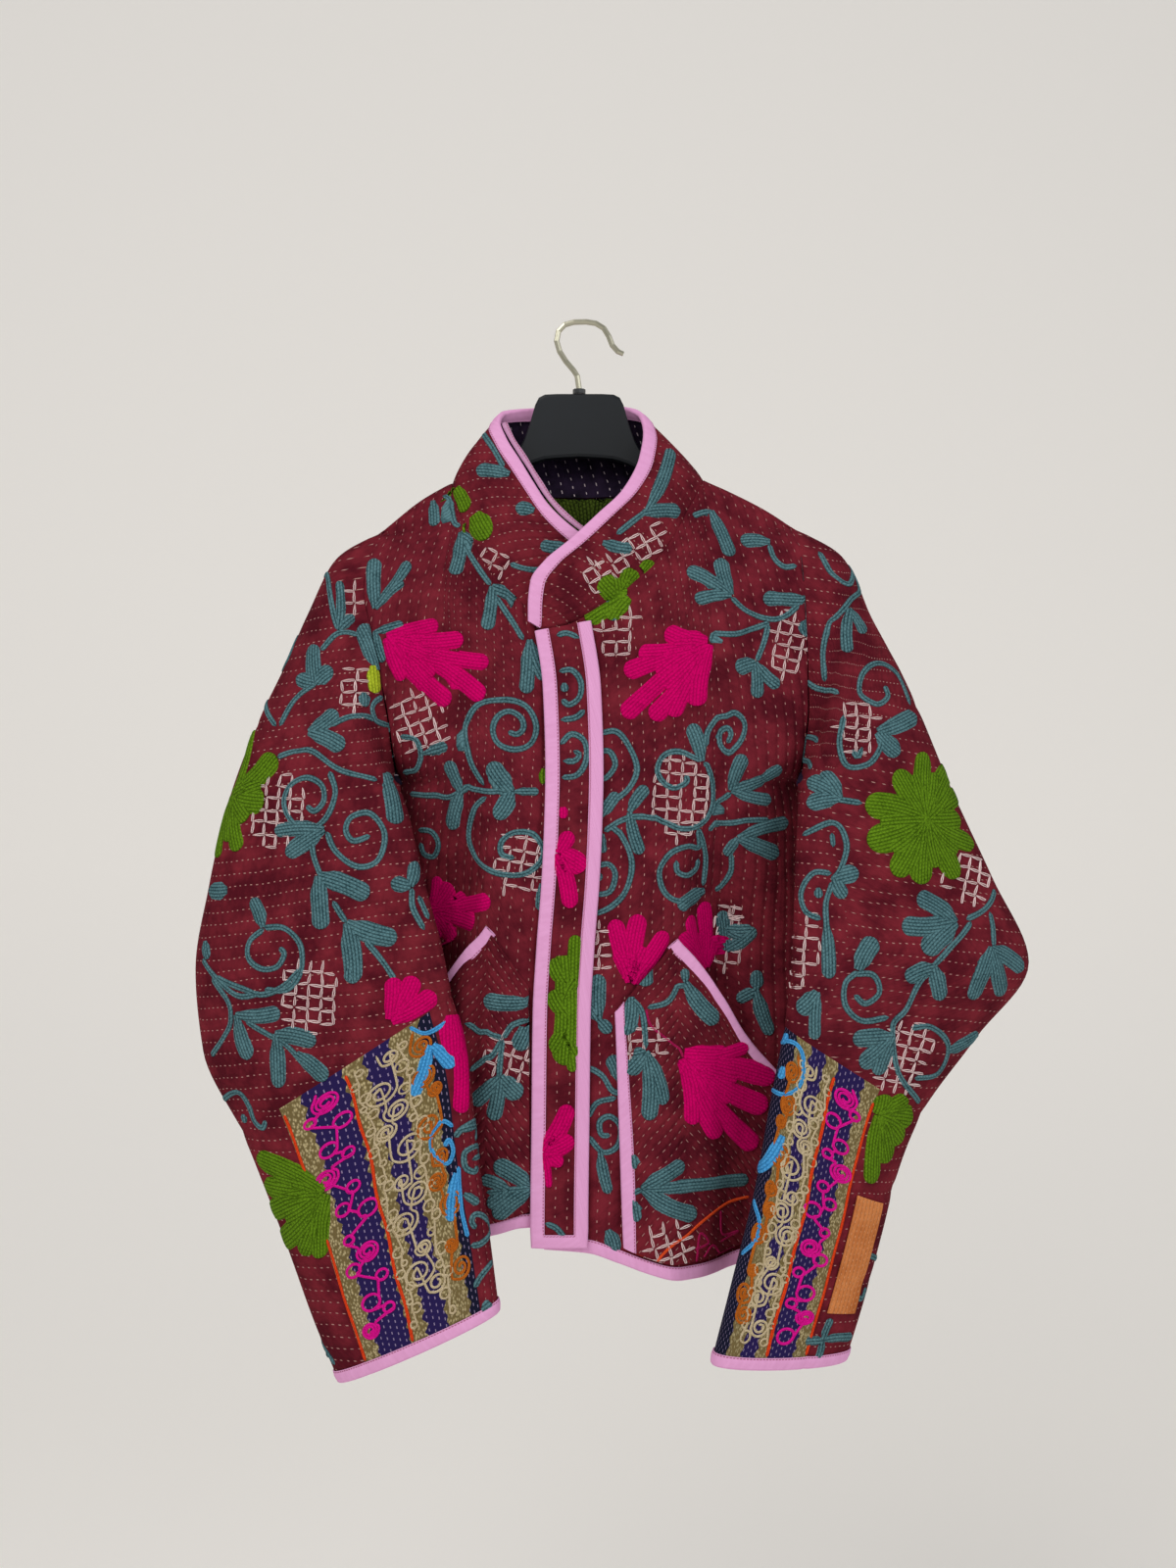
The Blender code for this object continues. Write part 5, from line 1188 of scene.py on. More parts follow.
# on each panel X and down of a base, then X, down and width of each lobe; stems as X and down along them
TEAL_LEAVES = {
    "front_left": (
        (115, 225, (80, 205, 12), (107, 195, 13), (86, 230, 11)),
        (134, 279, (118, 285, 13), (135, 307, 11), (153, 298, 10)),
        (101, 155, (86, 160, 5.5), (116, 193, 12)), (148, 180, (124, 180, 13)), (179, 198, (184, 218, 13)),
        (177, 228, (141, 227, 12), (175, 257, 12)), (91, 357, (82, 328, 12)),
        (34, 397, (48, 377, 10), (43, 430, 10)), (12, 400, (25, 382, 10)), (13, 414, (14, 429, 6.5)),
        (9, 444, (10, 451, 6.5)), (94, 460, (73, 473, 13)),
        (115, 380, (125, 352, 13), (156, 362, 12), (148, 388, 10)),
        (121, 418, (163, 406, 11), (155, 432, 13), (111, 432, 9)),
        (112, 492, (108, 478, 10), (134, 492, 10), (126, 499, 8)), (18, 232, (22, 247, 12)),
        (113, 509, (109, 477, 13), (136, 491, 12)),
        (137, 541, (137, 525, 11), (149, 577, 12), (122, 550, 10)),
        (10, 560, (10, 524, 13), (-1, 547, 11), (19, 570, 10)), (27, 608, (19, 588, 12), (25, 594, 9)),
        (11, 663, (18, 697, 9)), (17, 726, (23, 745, 12)),
    ),
    "front_right": (
        (-168, 235, (-170, 194, 12), (-142, 197, 10), (-146, 213, 7.5)),
        (-100, 174, (-105, 209, 12), (-77, 187, 11)), (-74, 219, (-78, 254, 11), (-45, 233, 12)),
        (-44, 262, (-47, 304, 12), (-32, 293, 11)), (-168, 254, (-145, 248, 7.5)),
        (-168, 253, (-161, 278, 9)), (-129, 351, (-109, 345, 7.5)),
        (-99, 381, (-109, 357, 12), (-107, 411, 13)), (-58, 381, (-75, 358, 15), (-71, 402, 14)),
        (-56, 381, (-37, 381, 6.5)), (-35, 453, (-36, 474, 7.5)), (-124, 146, (-122, 167, 10)),
    ),
    "collar": (
        (-13, 189, (-36, 186, 11)), (-20, 198, (-1, 207, 14)), (-61, 127, (-88, 122, 12)),
        (-41, 158, (-56, 156, 12)), (48, 159, (69, 105, 11)), (45, 161, (75, 157, 12)),
        (13, 186, (36, 190, 10)),
    ),
    "flap": (
        (-17, 296, (-16, 303, 6.5)),
    ),
    "pocket_left": (
        (35, 541, (31, 571, 14)), (47, 520, (46, 533, 12)), (78, 531, (104, 563, 14), (77, 520, 7)),
        (47, 584, (32, 601, 13), (49, 638, 13), (61, 626, 12), (37, 587, 11)),
        (44, 692, (77, 673, 13), (130, 692, 11), (87, 715, 14)), (38, 676, (36, 665, 9)),
        (36, 701, (40, 718, 10)),
    ),
    "pocket_right": (
        (-42, 545, (-80, 544, 13)), (-42, 555, (-54, 583, 14)),
        (-67, 604, (-89, 626, 12), (-73, 638, 12), (-51, 620, 16)),
        (-41, 692, (-72, 672, 14), (-72, 715, 14)), (-60, 693, (-82, 684, 10), (-77, 706, 12)),
    ),
    "sleeve_left": (
        (209, 236, (222, 255, 12), (207, 271, 10)), (229, 334, (263, 320, 14), (247, 351, 17)),
        (198, 386, (174, 372, 14), (172, 391, 14), (184, 366, 13)),
        (192, 448, (211, 443, 14), (200, 463, 11)), (185, 482, (186, 524, 11)),
        (177, 534, (162, 549, 15), (175, 570, 10)),
        (289, 483, (257, 462, 16), (244, 484, 16), (262, 506, 19)),
        (270, 517, (247, 526, 14), (276, 543, 14)),
        (319, 504, (303, 544, 16), (330, 542, 15), (348, 522, 15)), (209, 518, (223, 494, 16)),
        (237, 570, (205, 571, 14), (211, 592, 16), (225, 600, 15)), (285, 585, (312, 575, 14)),
        (179, 455, (179, 463, 7)),
        (183, 805, (190, 789, 7.5), (169, 804, 7.5), (208, 809, 7.5), (179, 821, 7.5)),
    ),
    "sleeve_right": (
        (-97, 639, (-85, 637, 6)), (-93, 687, (-82, 695, 7)), (-79, 777, (-72, 772, 9)),
        (-157, 367, (-147, 406, 15), (-149, 372, 9)), (-203, 410, (-244, 412, 12), (-234, 430, 15)),
        (-207, 446, (-204, 487, 15), (-167, 461, 16)), (-184, 482, (-178, 527, 15), (-145, 494, 16)),
        (-252, 487, (-262, 465, 12)), (-284, 459, (-301, 460, 14)), (-303, 500, (-300, 514, 10)),
        (-214, 295, (-217, 264, 15), (-230, 290, 13), (-200, 284, 15)),
        (-196, 253, (-197, 213, 8), (-185, 241, 9)), (-218, 334, (-195, 318, 14), (-189, 347, 14)),
        (-165, 284, (-179, 248, 17)), (-176, 303, (-175, 314, 10)), (-150, 344, (-172, 335, 10)),
        (-135, 454, (-150, 450, 12), (-132, 435, 11)), (-274, 556, (-237, 552, 12), (-263, 590, 14)),
        (-241, 569, (-239, 611, 13), (-208, 574, 14)), (-224, 584, (-200, 603, 14)),
        (-180, 514, (-180, 528, 13)), (-271, 636, (-270, 643, 6.5)), (-206, 827, (-184, 822, 11)),
    ),
}
MAGENTA_LEAVES = {
    "front_left": (
        (95, 265, (62, 255, 16), (41, 273, 15), (30, 288, 15), (29, 322, 15), (51, 324, 15), (66, 322, 16),
         (86, 314, 18)), (35, 530, (22, 481, 14), (42, 477, 15), (63, 491, 14), (24, 504, 13)),
        (96, 521, (93, 469, 16), (82, 479, 14), (74, 494, 15), (103, 496, 13)),
    ),
    "front_right": (
        (-158, 259, (-116, 250, 15), (-96, 261, 15), (-76, 280, 14), (-80, 308, 16), (-107, 312, 17),
         (-125, 301, 15), (-145, 293, 12)),
        (-124, 476, (-119, 449, 9), (-108, 455, 17), (-95, 466, 17), (-75, 466, 14), (-88, 484, 17),
         (-107, 501, 17), (-120, 500, 14)),
    ),
    "flap": (
        (-18, 393, (-18, 402, 7.5)), (-22, 429, (-12, 412, 12), (-1, 442, 18), (-12, 472, 13)),
        (-33, 663, (-13, 626, 14), (-10, 652, 16), (-19, 674, 12), (-29, 691, 6.5)),
    ),
    "pocket_left": (
        (77, 590, (84, 643, 14), (106, 654, 18), (136, 666, 16), (145, 634, 17), (151, 611, 18),
         (129, 584, 11)),
    ),
    "sleeve_right": (
        (-101, 552, (-97, 582, 12), (-95, 626, 14)),
        (-149, 555, (-147, 523, 14), (-131, 522, 15), (-115, 535, 15)),
    ),
}
GREEN_LEAVES = {
    "front_left": (
        (32, 227, (9, 227, 17), (0, 247, 15), (18, 246, 15)),
    ),
    "front_right": (
        (-105, 137, (-97, 155, 12)), (-89, 162, (-78, 180, 20)), (-33, 363, (-33, 375, 6.5)),
    ),
    "collar": (
        (-105, 137, (-96, 156, 14)), (-89, 160, (-78, 180, 20)),
        (26, 227, (53, 199, 15), (35, 205, 14), (12, 214, 20)),
    ),
    "flap": (
        (-17, 509, (-17, 595, 20)), (-9, 533, (-8, 493, 11)), (-15, 531, (-25, 511, 15)),
        (-15, 555, (-26, 536, 15)), (-15, 567, (-26, 585, 15)), (-13, 579, (-10, 600, 9)),
        (-17, 543, (-8, 526, 13)), (-17, 571, (-8, 588, 13)),
    ),
    "sleeve_left": (
        (268, 403, (244, 364, 22), (269, 350, 18), (292, 362, 20), (303, 382, 16), (309, 423, 18),
         (292, 449, 22), (260, 453, 22), (239, 446, 20), (218, 420, 24), (217, 391, 22)),
        (228, 632, (232, 616, 20), (252, 622, 20), (257, 639, 20), (248, 656, 20), (236, 671, 20),
         (223, 686, 17)), (230, 752, (232, 736, 6.5)),
    ),
    "sleeve_right": (
        (-282, 385, (-246, 352, 20), (-254, 389, 22), (-276, 428, 15), (-295, 434, 12), (-268, 333, 9)),
        (-203, 692, (-260, 671, 20), (-254, 693, 20), (-249, 714, 19), (-240, 737, 20), (-223, 744, 20),
         (-209, 745, 20)),
    ),
}
LIME_LEAVES = {
    "sleeve_right": (
        (-169, 281, (-167, 303, 12)),
    ),
}
BLUE_LEAVES = {
    "sleeve_left": (
        (150, 643, (132, 670, 11)), (151, 591, (148, 600, 8)), (151, 574, (154, 566, 7.5)),
    ),
    "sleeve_right": (
        (-119, 574, (-132, 613, 10)), (-117, 574, (-101, 591, 12)), (-99, 671, (-103, 708, 8)),
    ),
}
TEAL_STEMS = {
    "front_left": (
        (115, 227, 128, 238, 147, 244, 159, 241, 170, 232), (98, 264, 114, 257, 132, 252, 146, 247),
        (145, 248, 141, 263, 135, 278), (147, 182, 151, 194, 159, 201, 169, 200),
        (94, 346, 96, 333, 105, 322, 117, 319, 125, 327, 123, 339, 114, 350, 106, 345, 105, 335, 111, 331,
         114, 336, 111, 343), (91, 357, 75, 350, 62, 352, 56, 363, 60, 373, 70, 378, 79, 373, 78, 368),
        (92, 358, 99, 371, 100, 388, 97, 399, 88, 408, 75, 410, 62, 405, 48, 401, 36, 401, 25, 405,
         14, 412), (11, 335, 24, 334, 34, 346, 40, 363, 34, 378, 22, 388, 15, 393),
        (12, 349, 19, 350, 23, 360, 16, 370, 10, 370),
        (19, 408, 31, 421, 36, 439, 31, 459, 20, 471, 7, 477), (9, 439, 18, 438, 23, 446, 19, 459, 8, 462),
        (88, 410, 93, 423, 95, 438, 93, 456),
        (88, 410, 89, 425, 80, 424, 67, 429, 58, 442, 60, 457, 69, 466, 81, 468),
        (71, 435, 72, 444, 80, 447, 87, 442, 89, 434), (115, 382, 106, 388, 100, 400),
        (97, 412, 108, 406, 128, 404, 147, 404), (116, 430, 116, 445, 109, 456, 103, 460),
        (1, 597, 13, 604, 20, 615, 27, 618), (1, 637, 9, 625, 24, 621),
        (1, 651, 13, 664, 25, 659, 27, 644, 19, 636, 11, 640, 12, 650, 19, 651),
    ),
    "front_right": (
        (-99, 180, -87, 201, -75, 218), (-71, 227, -60, 244, -49, 262),
        (-142, 383, -122, 384, -99, 381, -75, 381, -56, 381),
        (-80, 376, -92, 353, -95, 331, -86, 314, -64, 309, -47, 314, -39, 329, -43, 343, -56, 348, -69, 343,
         -73, 332, -69, 322, -60, 318, -51, 323, -49, 331, -54, 336, -61, 334),
        (-78, 385, -89, 397, -93, 415, -89, 430, -79, 441, -64, 446, -47, 445, -36, 436, -34, 425, -42, 414,
         -56, 413, -66, 420, -66, 430, -56, 433), (-148, 337, -135, 340, -131, 352, -135, 363, -147, 366),
        (-135, 412, -124, 413, -118, 423, -122, 433, -130, 431, -133, 422),
        (-116, 142, -107, 161, -101, 169),
    ),
    "collar": (
        (-60, 201, -49, 205, -35, 206, -23, 200), (-83, 90, -74, 106, -66, 121),
        (48, 159, 36, 169, 24, 179),
    ),
    "flap": (
        (-21, 287, -11, 286, -4, 295, -5, 307, -13, 313, -19, 309), (-20, 325, -8, 323, -1, 317),
        (-20, 344, -11, 336, -1, 342, 0, 357, -7, 368, -19, 370), (-18, 357, -9, 357, -5, 352, -10, 349),
        (-23, 259, -15, 257, -5, 261), (-32, 719, -23, 723, -16, 731),
    ),
    "pocket_left": (
        (35, 542, 44, 554, 47, 582), (48, 550, 66, 544, 80, 534), (36, 697, 44, 692),
    ),
    "pocket_right": (
        (-42, 548, -54, 562, -65, 574), (-95, 562, -80, 569, -65, 574), (-65, 574, -76, 589, -91, 600),
        (-65, 574, -67, 590, -68, 605), (-78, 695, -60, 693, -42, 692),
    ),
    "sleeve_left": (
        (187, 188, 199, 209, 212, 214, 216, 201),
        (216, 194, 220, 220, 207, 233, 194, 246, 188, 270, 189, 294), (176, 291, 186, 300, 199, 304),
        (259, 312, 249, 287, 231, 279, 218, 289, 216, 304, 229, 312, 239, 306, 237, 297),
        (229, 333, 259, 317), (202, 321, 198, 342, 203, 360, 219, 360, 230, 348, 232, 336),
        (208, 348, 212, 354, 216, 346), (194, 387, 215, 390), (183, 342, 175, 340, 172, 354, 177, 363),
        (168, 415, 191, 405, 202, 420, 197, 441, 190, 450),
        (190, 444, 175, 444, 166, 459, 169, 473, 181, 479), (191, 450, 185, 467, 185, 485),
        (326, 459, 316, 473, 298, 481),
        (302, 483, 281, 504, 260, 526, 248, 549, 237, 564, 243, 600, 263, 627), (319, 476, 321, 503),
        (209, 519, 199, 528, 199, 545, 212, 557, 234, 555),
        (206, 521, 221, 522, 226, 536, 215, 544, 206, 537),
        (252, 564, 270, 565, 285, 582, 278, 603, 257, 605), (191, 413, 192, 424),
        (230, 751, 217, 743, 208, 756, 207, 770, 216, 779, 220, 771),
    ),
    "sleeve_right": (
        (-100, 644, -93, 637, -86, 636, -84, 648),
        (-83, 667, -85, 671, -91, 668, -93, 660, -90, 654, -84, 655, -83, 661, -87, 662),
        (-88, 727, -79, 725, -75, 718, -77, 707, -84, 703, -87, 708, -84, 714),
        (-85, 759, -79, 749, -72, 740), (-244, 354, -227, 349, -213, 350, -189, 365, -163, 372),
        (-200, 365, -195, 381, -201, 400, -214, 410, -228, 406, -237, 390, -232, 376, -218, 370, -206, 376,
         -204, 388, -211, 396, -218, 392),
        (-201, 412, -193, 428, -175, 439, -160, 433, -156, 413, -167, 398, -181, 400, -186, 410, -180, 419,
         -167, 415), (-214, 413, -211, 431, -205, 446), (-195, 465, -184, 482),
        (-170, 495, -156, 511, -146, 525),
        (-251, 487, -234, 487, -221, 499, -220, 519, -231, 534, -250, 535),
        (-251, 488, -263, 498, -264, 511, -253, 519, -240, 517, -234, 507, -238, 502),
        (-305, 514, -290, 530, -272, 541, -253, 538), (-213, 295, -231, 308, -243, 329),
        (-259, 308, -246, 329), (-212, 204, -204, 224, -196, 253), (-180, 257, -203, 261, -210, 269),
        (-201, 330, -167, 325), (-162, 305, -169, 314, -164, 326, -155, 331),
        (-134, 455, -133, 470, -124, 487), (-129, 461, -121, 479), (-237, 254, -239, 272, -248, 283),
        (-292, 527, -269, 535, -252, 539, -235, 532, -220, 518),
        (-296, 528, -282, 545, -279, 559, -287, 577, -297, 591),
        (-266, 560, -247, 570, -232, 578, -216, 594),
        (-289, 627, -276, 618, -266, 627, -261, 641, -254, 645, -251, 639),
        (-210, 814, -204, 822, -197, 831),
    ),
}
ROSE_STEMS = {
    "pocket_left": (
        (47, 551, 51, 564, 66, 577, 77, 591), (87, 752, 90, 730, 97, 738, 86, 742),
        (107, 714, 109, 734, 122, 734, 107, 740), (93, 749, 103, 743, 119, 753, 103, 752),
    ),
}
ORANGE_STEMS = {
    "pocket_left": (
        (38, 751, 61, 742, 83, 727, 106, 712, 131, 706),
    ),
}
BLUE_STEMS = {
    "sleeve_left": (
        (152, 572, 161, 574, 166, 586, 163, 605, 151, 612, 144, 611),
        (127, 692, 132, 707, 129, 723, 119, 735),
    ),
    "sleeve_right": (
        (-135, 561, -121, 565, -105, 556),
        (-101, 636, -109, 632, -117, 641, -117, 655, -106, 664, -101, 655, -104, 646, -108, 651),
        (-97, 666, -95, 697, -90, 720),
    ),
}
WOOLS = {
    "teal": (wool("teal_wool", "#5D848B", "#1C383F", 2.6, 3.0, 1.0), 1.3, TEAL_LEAVES, TEAL_STEMS),
    "magenta": (wool("magenta_wool", "#CE0064", "#980048", 2.6, 3.0, 0.5), 1.4, MAGENTA_LEAVES, {}),
    "green": (wool("moss_green_wool", "#648A1A", "#344E06", 2.8, 3.0, 0.9), 1.5, GREEN_LEAVES, {}),
    "lime": (wool("yellow_green_wool", "#B2C430", "#768618", 2.8, 2.8, 0.8), 1.2, LIME_LEAVES, {}),
    "blue": (wool("sky_blue_wool", "#50A6E2", "#266FA8", 2.8, 2.8, 0.8), 1.2, BLUE_LEAVES, BLUE_STEMS),
    "rose": (wool("dark_rose_wool", "#B01F58", "#7C103A", 1.2, 2.4, 0.6), 0.8, {}, ROSE_STEMS),
    "orange": (wool("red_orange_wool", "#F0562A", "#B83A16", 1.2, 2.4, 0.6), 0.9, {}, ORANGE_STEMS),
}
THIN = {"rose": 1.0, "orange": 1.2, "blue": 1.7}
# broad flowers: share of the fingers' length that their middle fills, and how full their profile is
HEART = {"magenta": 0.6, "green": 0.78}
FULLNESS = {"magenta": 0.45, "green": 0.7}
BROAD_BASE = 0.62
LEAF_BASE = 0.42
HEART_WIDTH = 24
HEART_OVERLAP = (0.9, 4)       # width of a filling lobe from the gap between two fingertips
WIDEST_GAP = 1.3               # wider gaps, as a share of the fingers' length, stay open


def heart(row, part):
    """Short lobes between the neighbouring fingers of a flower, which fill its middle."""
    x, down, *tips = row
    fill = []
    for (ax, ad, _), (bx, bd, _) in zip(tips[:-1], tips[1:]):
        wide = math.hypot(ax - bx, ad - bd) * part * HEART_OVERLAP[0] + HEART_OVERLAP[1]
        mid_x, mid_down = (ax + bx) / 2 - x, (ad + bd) / 2 - down
        if wide < WIDEST_GAP * math.hypot(mid_x, mid_down):
            fill.append((x, down, x + part * mid_x, down + part * mid_down, min(wide, HEART_WIDTH)))
    return fill


def embroider(shade):
    """All lobes and stems of one colour, a piece for each panel."""
    material, height, lobes, lines = WOOLS[shade]
    base_half = BROAD_BASE if shade in HEART else LEAF_BASE
    for panel in PANELS:
        rows = lobes.get(panel, ())
        flat = [(*row[:2], *tip) for row in rows for tip in row[2:]]
        if shade in HEART:
            flat += [lobe for row in rows for lobe in heart(row, HEART[shade])]
        batches = [leaves(panel, flat, height, base_half, FULLNESS.get(shade, 1.0))] if flat else []
        batches += [stem(panel, row, height * STEM_SHARE, THIN.get(shade, STEM_HALF))
                    for row in lines.get(panel, ())]
        if batches:
            relief(shade + "_" + panel, batches, material)


for shade in WOOLS:
    embroider(shade)

# Open lattices
# Pale cotton thread in long detached loops, laid as the sides of small squares between the motifs. Each
# loop is two thin threads that meet at one end and stand apart at the other.
THREAD_HALF = 0.42
CELL = 10.4
LOOP_SPLAY = 0.75
THREAD_RING = np.array([-1.0, 0.0, 1.0, 0.0])
THREAD_HEIGHT = np.array([0.2, 1.0, 0.2, -0.5]) * 0.9
CELL_SQUASH = 0.92
SIDE_KEPT = 0.95       # chance that a side inside the oval is there
RAGGED = 1.5           # unevenness of the oval's edge, and of the places of the threads' ends
SHAKEN = 0.55
# places along a thread, and there its thickness and its distance from the other thread
THREAD_SHARE = np.array([0.04, 0.2, 0.55, 0.88, 0.96])
THREAD_TAPER = np.array([0.5, 1.0, 1.0, 1.0, 0.4])
THREAD_SPLAY = np.array([0.0, 0.45, 1.0, 0.8, 0.3]) * LOOP_SPLAY
OVAL_POWER = 2.6
# on each panel X and down of the middle, width, height and angle
LATTICES = {
    "front_left": (
        (24, 254, 32, 49, 0), (161, 266, 32, 56, 12), (74, 386, 46, 70, 4), (114, 483, 19, 28, 10),
        (115, 500, 22, 55, 8), (10, 500, 19, 41, 0),
    ),
    "front_right": (
        (-69, 206, 43, 24, 30), (-131, 326, 40, 53, -18), (-50, 437, 40, 49, 10),
    ),
    "collar": (
        (-74, 201, 34, 26, 30), (38, 191, 64, 21, -32), (11, 213, 25, 30, -32),
    ),
    "pocket_left": (
        (45, 576, 34, 31, 0), (64, 736, 41, 31, -14),
    ),
    "pocket_right": (
        (-58, 588, 43, 38, 16),
    ),
    "sleeve_left": (
        (212, 331, 32, 44, 4), (300, 451, 44, 41, 18), (168, 503, 21, 59, 4), (247, 588, 44, 56, 16),
    ),
    "sleeve_right": (
        (-242, 396, 51, 59, 2), (-182, 303, 23, 44, 0), (-214, 539, 49, 56, 4), (-185, 231, 14, 28, 0),
    ),
}


def lattice_sides(width, height, seed):
    """Sides of the squares whose middle lies inside a rough oval: start and end, in millimetres."""
    chance = np.random.default_rng(seed)
    across, down = int(width / CELL / 2) + 1, int(height / CELL / 2) + 1
    u, v = (part.ravel() for part in np.meshgrid(np.arange(-across, across + 1), np.arange(-down, down + 1)))
    start = np.stack([u, v], axis=-1) * CELL * (1.0, CELL_SQUASH)
    sides = np.concatenate([np.stack([start, start + (CELL, 0)], axis=1),
                            np.stack([start, start + (0, CELL * CELL_SQUASH)], axis=1)])
    middle = sides.mean(axis=1) + chance.normal(0, RAGGED, (len(sides), 2))
    inside = (np.abs(middle / (width / 2, height / 2)) ** OVAL_POWER).sum(axis=1) < 1
    keep = inside & (chance.random(len(sides)) < SIDE_KEPT)
    return sides[keep] + chance.normal(0, SHAKEN, (keep.sum(), 2, 2))


def lattice(panel, x, down, width, height, angle):
    """Two threads along each side, splayed towards its far end."""
    sides = lattice_sides(width, height, int(abs(x) * 31 + down))
    turn = math.radians(angle)
    spin = np.array([[math.cos(turn), math.sin(turn)], [-math.sin(turn), math.cos(turn)]])
    sides = sides @ spin
    run = sides[:, 1] - sides[:, 0]
    normal_flat = np.stack([-run[:, 1], run[:, 0]], axis=-1) / np.linalg.norm(run, axis=-1)[:, None]
    threads = []
    for hand in (-1, 1):
        line = sides[:, None, 0] + run[:, None] * THREAD_SHARE[None, :, None]
        line = line + hand * normal_flat[:, None] * THREAD_SPLAY[None, :, None]
        threads.append(line[:, :, None] + normal_flat[:, None, None]
                       * (THREAD_TAPER[:, None] * THREAD_RING * THREAD_HALF)[None, ..., None])
    flat = np.concatenate(threads)
    i, j = find(panel, [x], [down])
    flat_x, flat_down = x + flat[..., 0], down + flat[..., 1]
    i, j = reach(panel, i[0] + 0 * flat_x, j[0] + 0 * flat_x, flat_x, flat_down)
    place, normal, _, _ = surface(panel, i, j)
    return place + THREAD_HEIGHT[..., None] * normal, flat * MM


pale_thread, shader, add = new_material("pale_pink_cotton_thread", Roughness=0.85, Specular_IOR_Level=0.12)
dye = add("TexNoise", add("TexCoord").outputs["Object"], Scale=60.0, Detail=2.0)
feed(shader, Base_Color=add("Mix", dye, colour("#D6B8BA"), colour("#F6E6E4"), data_type="RGBA"))
for panel in PANELS:
    batches = [lattice(panel, *row) for row in LATTICES.get(panel, ())]
    if batches:
        relief("lattice_" + panel, batches, pale_thread)

# Forearm borders
# Old hand-worked border bands let into the front of both forearms: dark cloths couched over with khaki
# cord, red-orange chain lines, hot pink loops, ecru scrolls, rust rounds and sky-blue leaves.
BAND_SPAN = {"right": 108.0, "left": 82.0}      # real width of the stripes in all, in millimetres
FIRST_LINE = 0.014
SECOND_LINE = 0.36
# half width of the cord, then spacing and radius of its loops, its place across the band, its sway,
# the turns of a loop, every how many loops one winds in, and by how much
CURLS = {
    "pink": ((1.15, 12.6, 4.8, 0.205, 0.06, 1.3, 5),),
    "ecru": ((0.95, 17.6, 8.2, 0.52, 0.04, 1.9, 1), (0.75, 9.5, 2.6, 0.405, 0.015, 1.1),
             (0.8, 11.0, 3.2, 0.635, 0.02, 1.1)),
    "rust": ((1.1, 21.0, 7.6, 0.735, 0.03, 2.2, 1, 0.85),),
}
BAND_STRIPES = ((0.0, "khaki"), (0.13, "violet"), (0.35, "khaki"), (0.46, "violet"), (0.6, "khaki"),
                (0.78, "navy"))
GROUNDS = {"khaki": "#A8966A", "violet": "#241A4C", "navy": "#12142A"}


def border_cloth():
    """Stripes along the band, with jagged edges where one cloth is couched over the next. Khaki cord lies
    in short slanting knots about 3 mm long; the dark cloths have pale running stitches."""
    material, shader, add = new_material("couched_border_cloth", Roughness=0.9, Specular_IOR_Level=0.1)
    flat = add("UVMap", uv_map="cloth")
    place = add("SeparateXYZ", flat)
    tooth = add("Math PINGPONG", add("Math MULTIPLY", place, 1000 / 5.5), 1.0)
    tooth = add("Math MULTIPLY_ADD", add("TexNoise", flat, Scale=120.0, Detail=2.0), 1.6, tooth)
    share = add("Math MULTIPLY", place.outputs[1], 1 / BAND_WIDTH)
    share = add("Math SUBTRACT", add("Math MULTIPLY_ADD", tooth, 0.024, share), 0.028)
    ramps = []
    for kind in ("ground", "cord"):
        ramp = add("ValToRGB", share)
        ramp.color_ramp.interpolation = "CONSTANT"
        while len(ramp.color_ramp.elements) < len(BAND_STRIPES):
            ramp.color_ramp.elements.new(0.5)
        for element, (start, cloth_name) in zip(ramp.color_ramp.elements, BAND_STRIPES):
            element.position = start
            on = float(cloth_name == "khaki")
            element.color = colour(GROUNDS[cloth_name]) if kind == "ground" else (on, on, on, 1)
        ramps.append(ramp)
    ground, corded = ramps
    # The khaki knots are painted lighter on top and darker in the gaps between them, following their bump:
    # painted highlight and shade.
    skewed = add("Mapping", flat, Rotation=(0, 0, 0.9), Scale=(1.0, 2.2, 1.0))
    knot = add("TexVoronoi", skewed, Scale=330.0)
    lump = add("MapRange", knot, 0.05, 0.6, 1.0, 0.0)
    light = add("Mix", lump, colour("#6E5F3C"), colour("#D6C596"), data_type="RGBA")
    painted = add("Mix", corded, ground, light, data_type="RGBA")
    cell = add("SeparateXYZ", add("VectorMath MULTIPLY", flat, (1000 / 5.6, 1000 / 3.4, 0)))
    shift = add("Math MULTIPLY_ADD", add("Math FLOOR", cell.outputs[1]), 0.5, cell)
    beat = add("Math LESS_THAN", add("Math FRACT", shift), 0.42)
    off = add("Math COMPARE", add("Math FRACT", cell.outputs[1]), 0.5, 0.09)
    stitch = add("Math MULTIPLY", add("Math MULTIPLY", beat, off), add("Math SUBTRACT", 1.0, corded))
    painted = add("Mix", stitch, painted, colour("#8B7C9C"), data_type="RGBA")
    height = add("Math MULTIPLY_ADD", stitch, 0.4, add("Math MULTIPLY", lump, corded))
    feed(shader, Base_Color=painted, Normal=add("Bump", Strength=0.9, Distance=0.0014, Height=height))
    return material


couched = border_cloth()


def band_place(side, along, across):
    """Grid indices of a band's place: share of its length, and share of its width from the outer edge."""
    first, last = BORDER_TURN[side]
    end = PANELS["sleeve_" + side][0].shape[0] - 3
    start = round(FOREARM_SEAM / SECTION_STEP)
    turn = first + (last - first) * BAND_FIT[side] * np.asarray(across)
    return start + (end - start) * np.asarray(along), turn / TURN_STEP


def band_length(side):
    """Length of the band along its middle, in millimetres."""
    i, j = band_place(side, np.linspace(0, 1, 30), np.full(30, 0.5))
    return distance_run(surface("sleeve_" + side, i, j)[0])[-1]


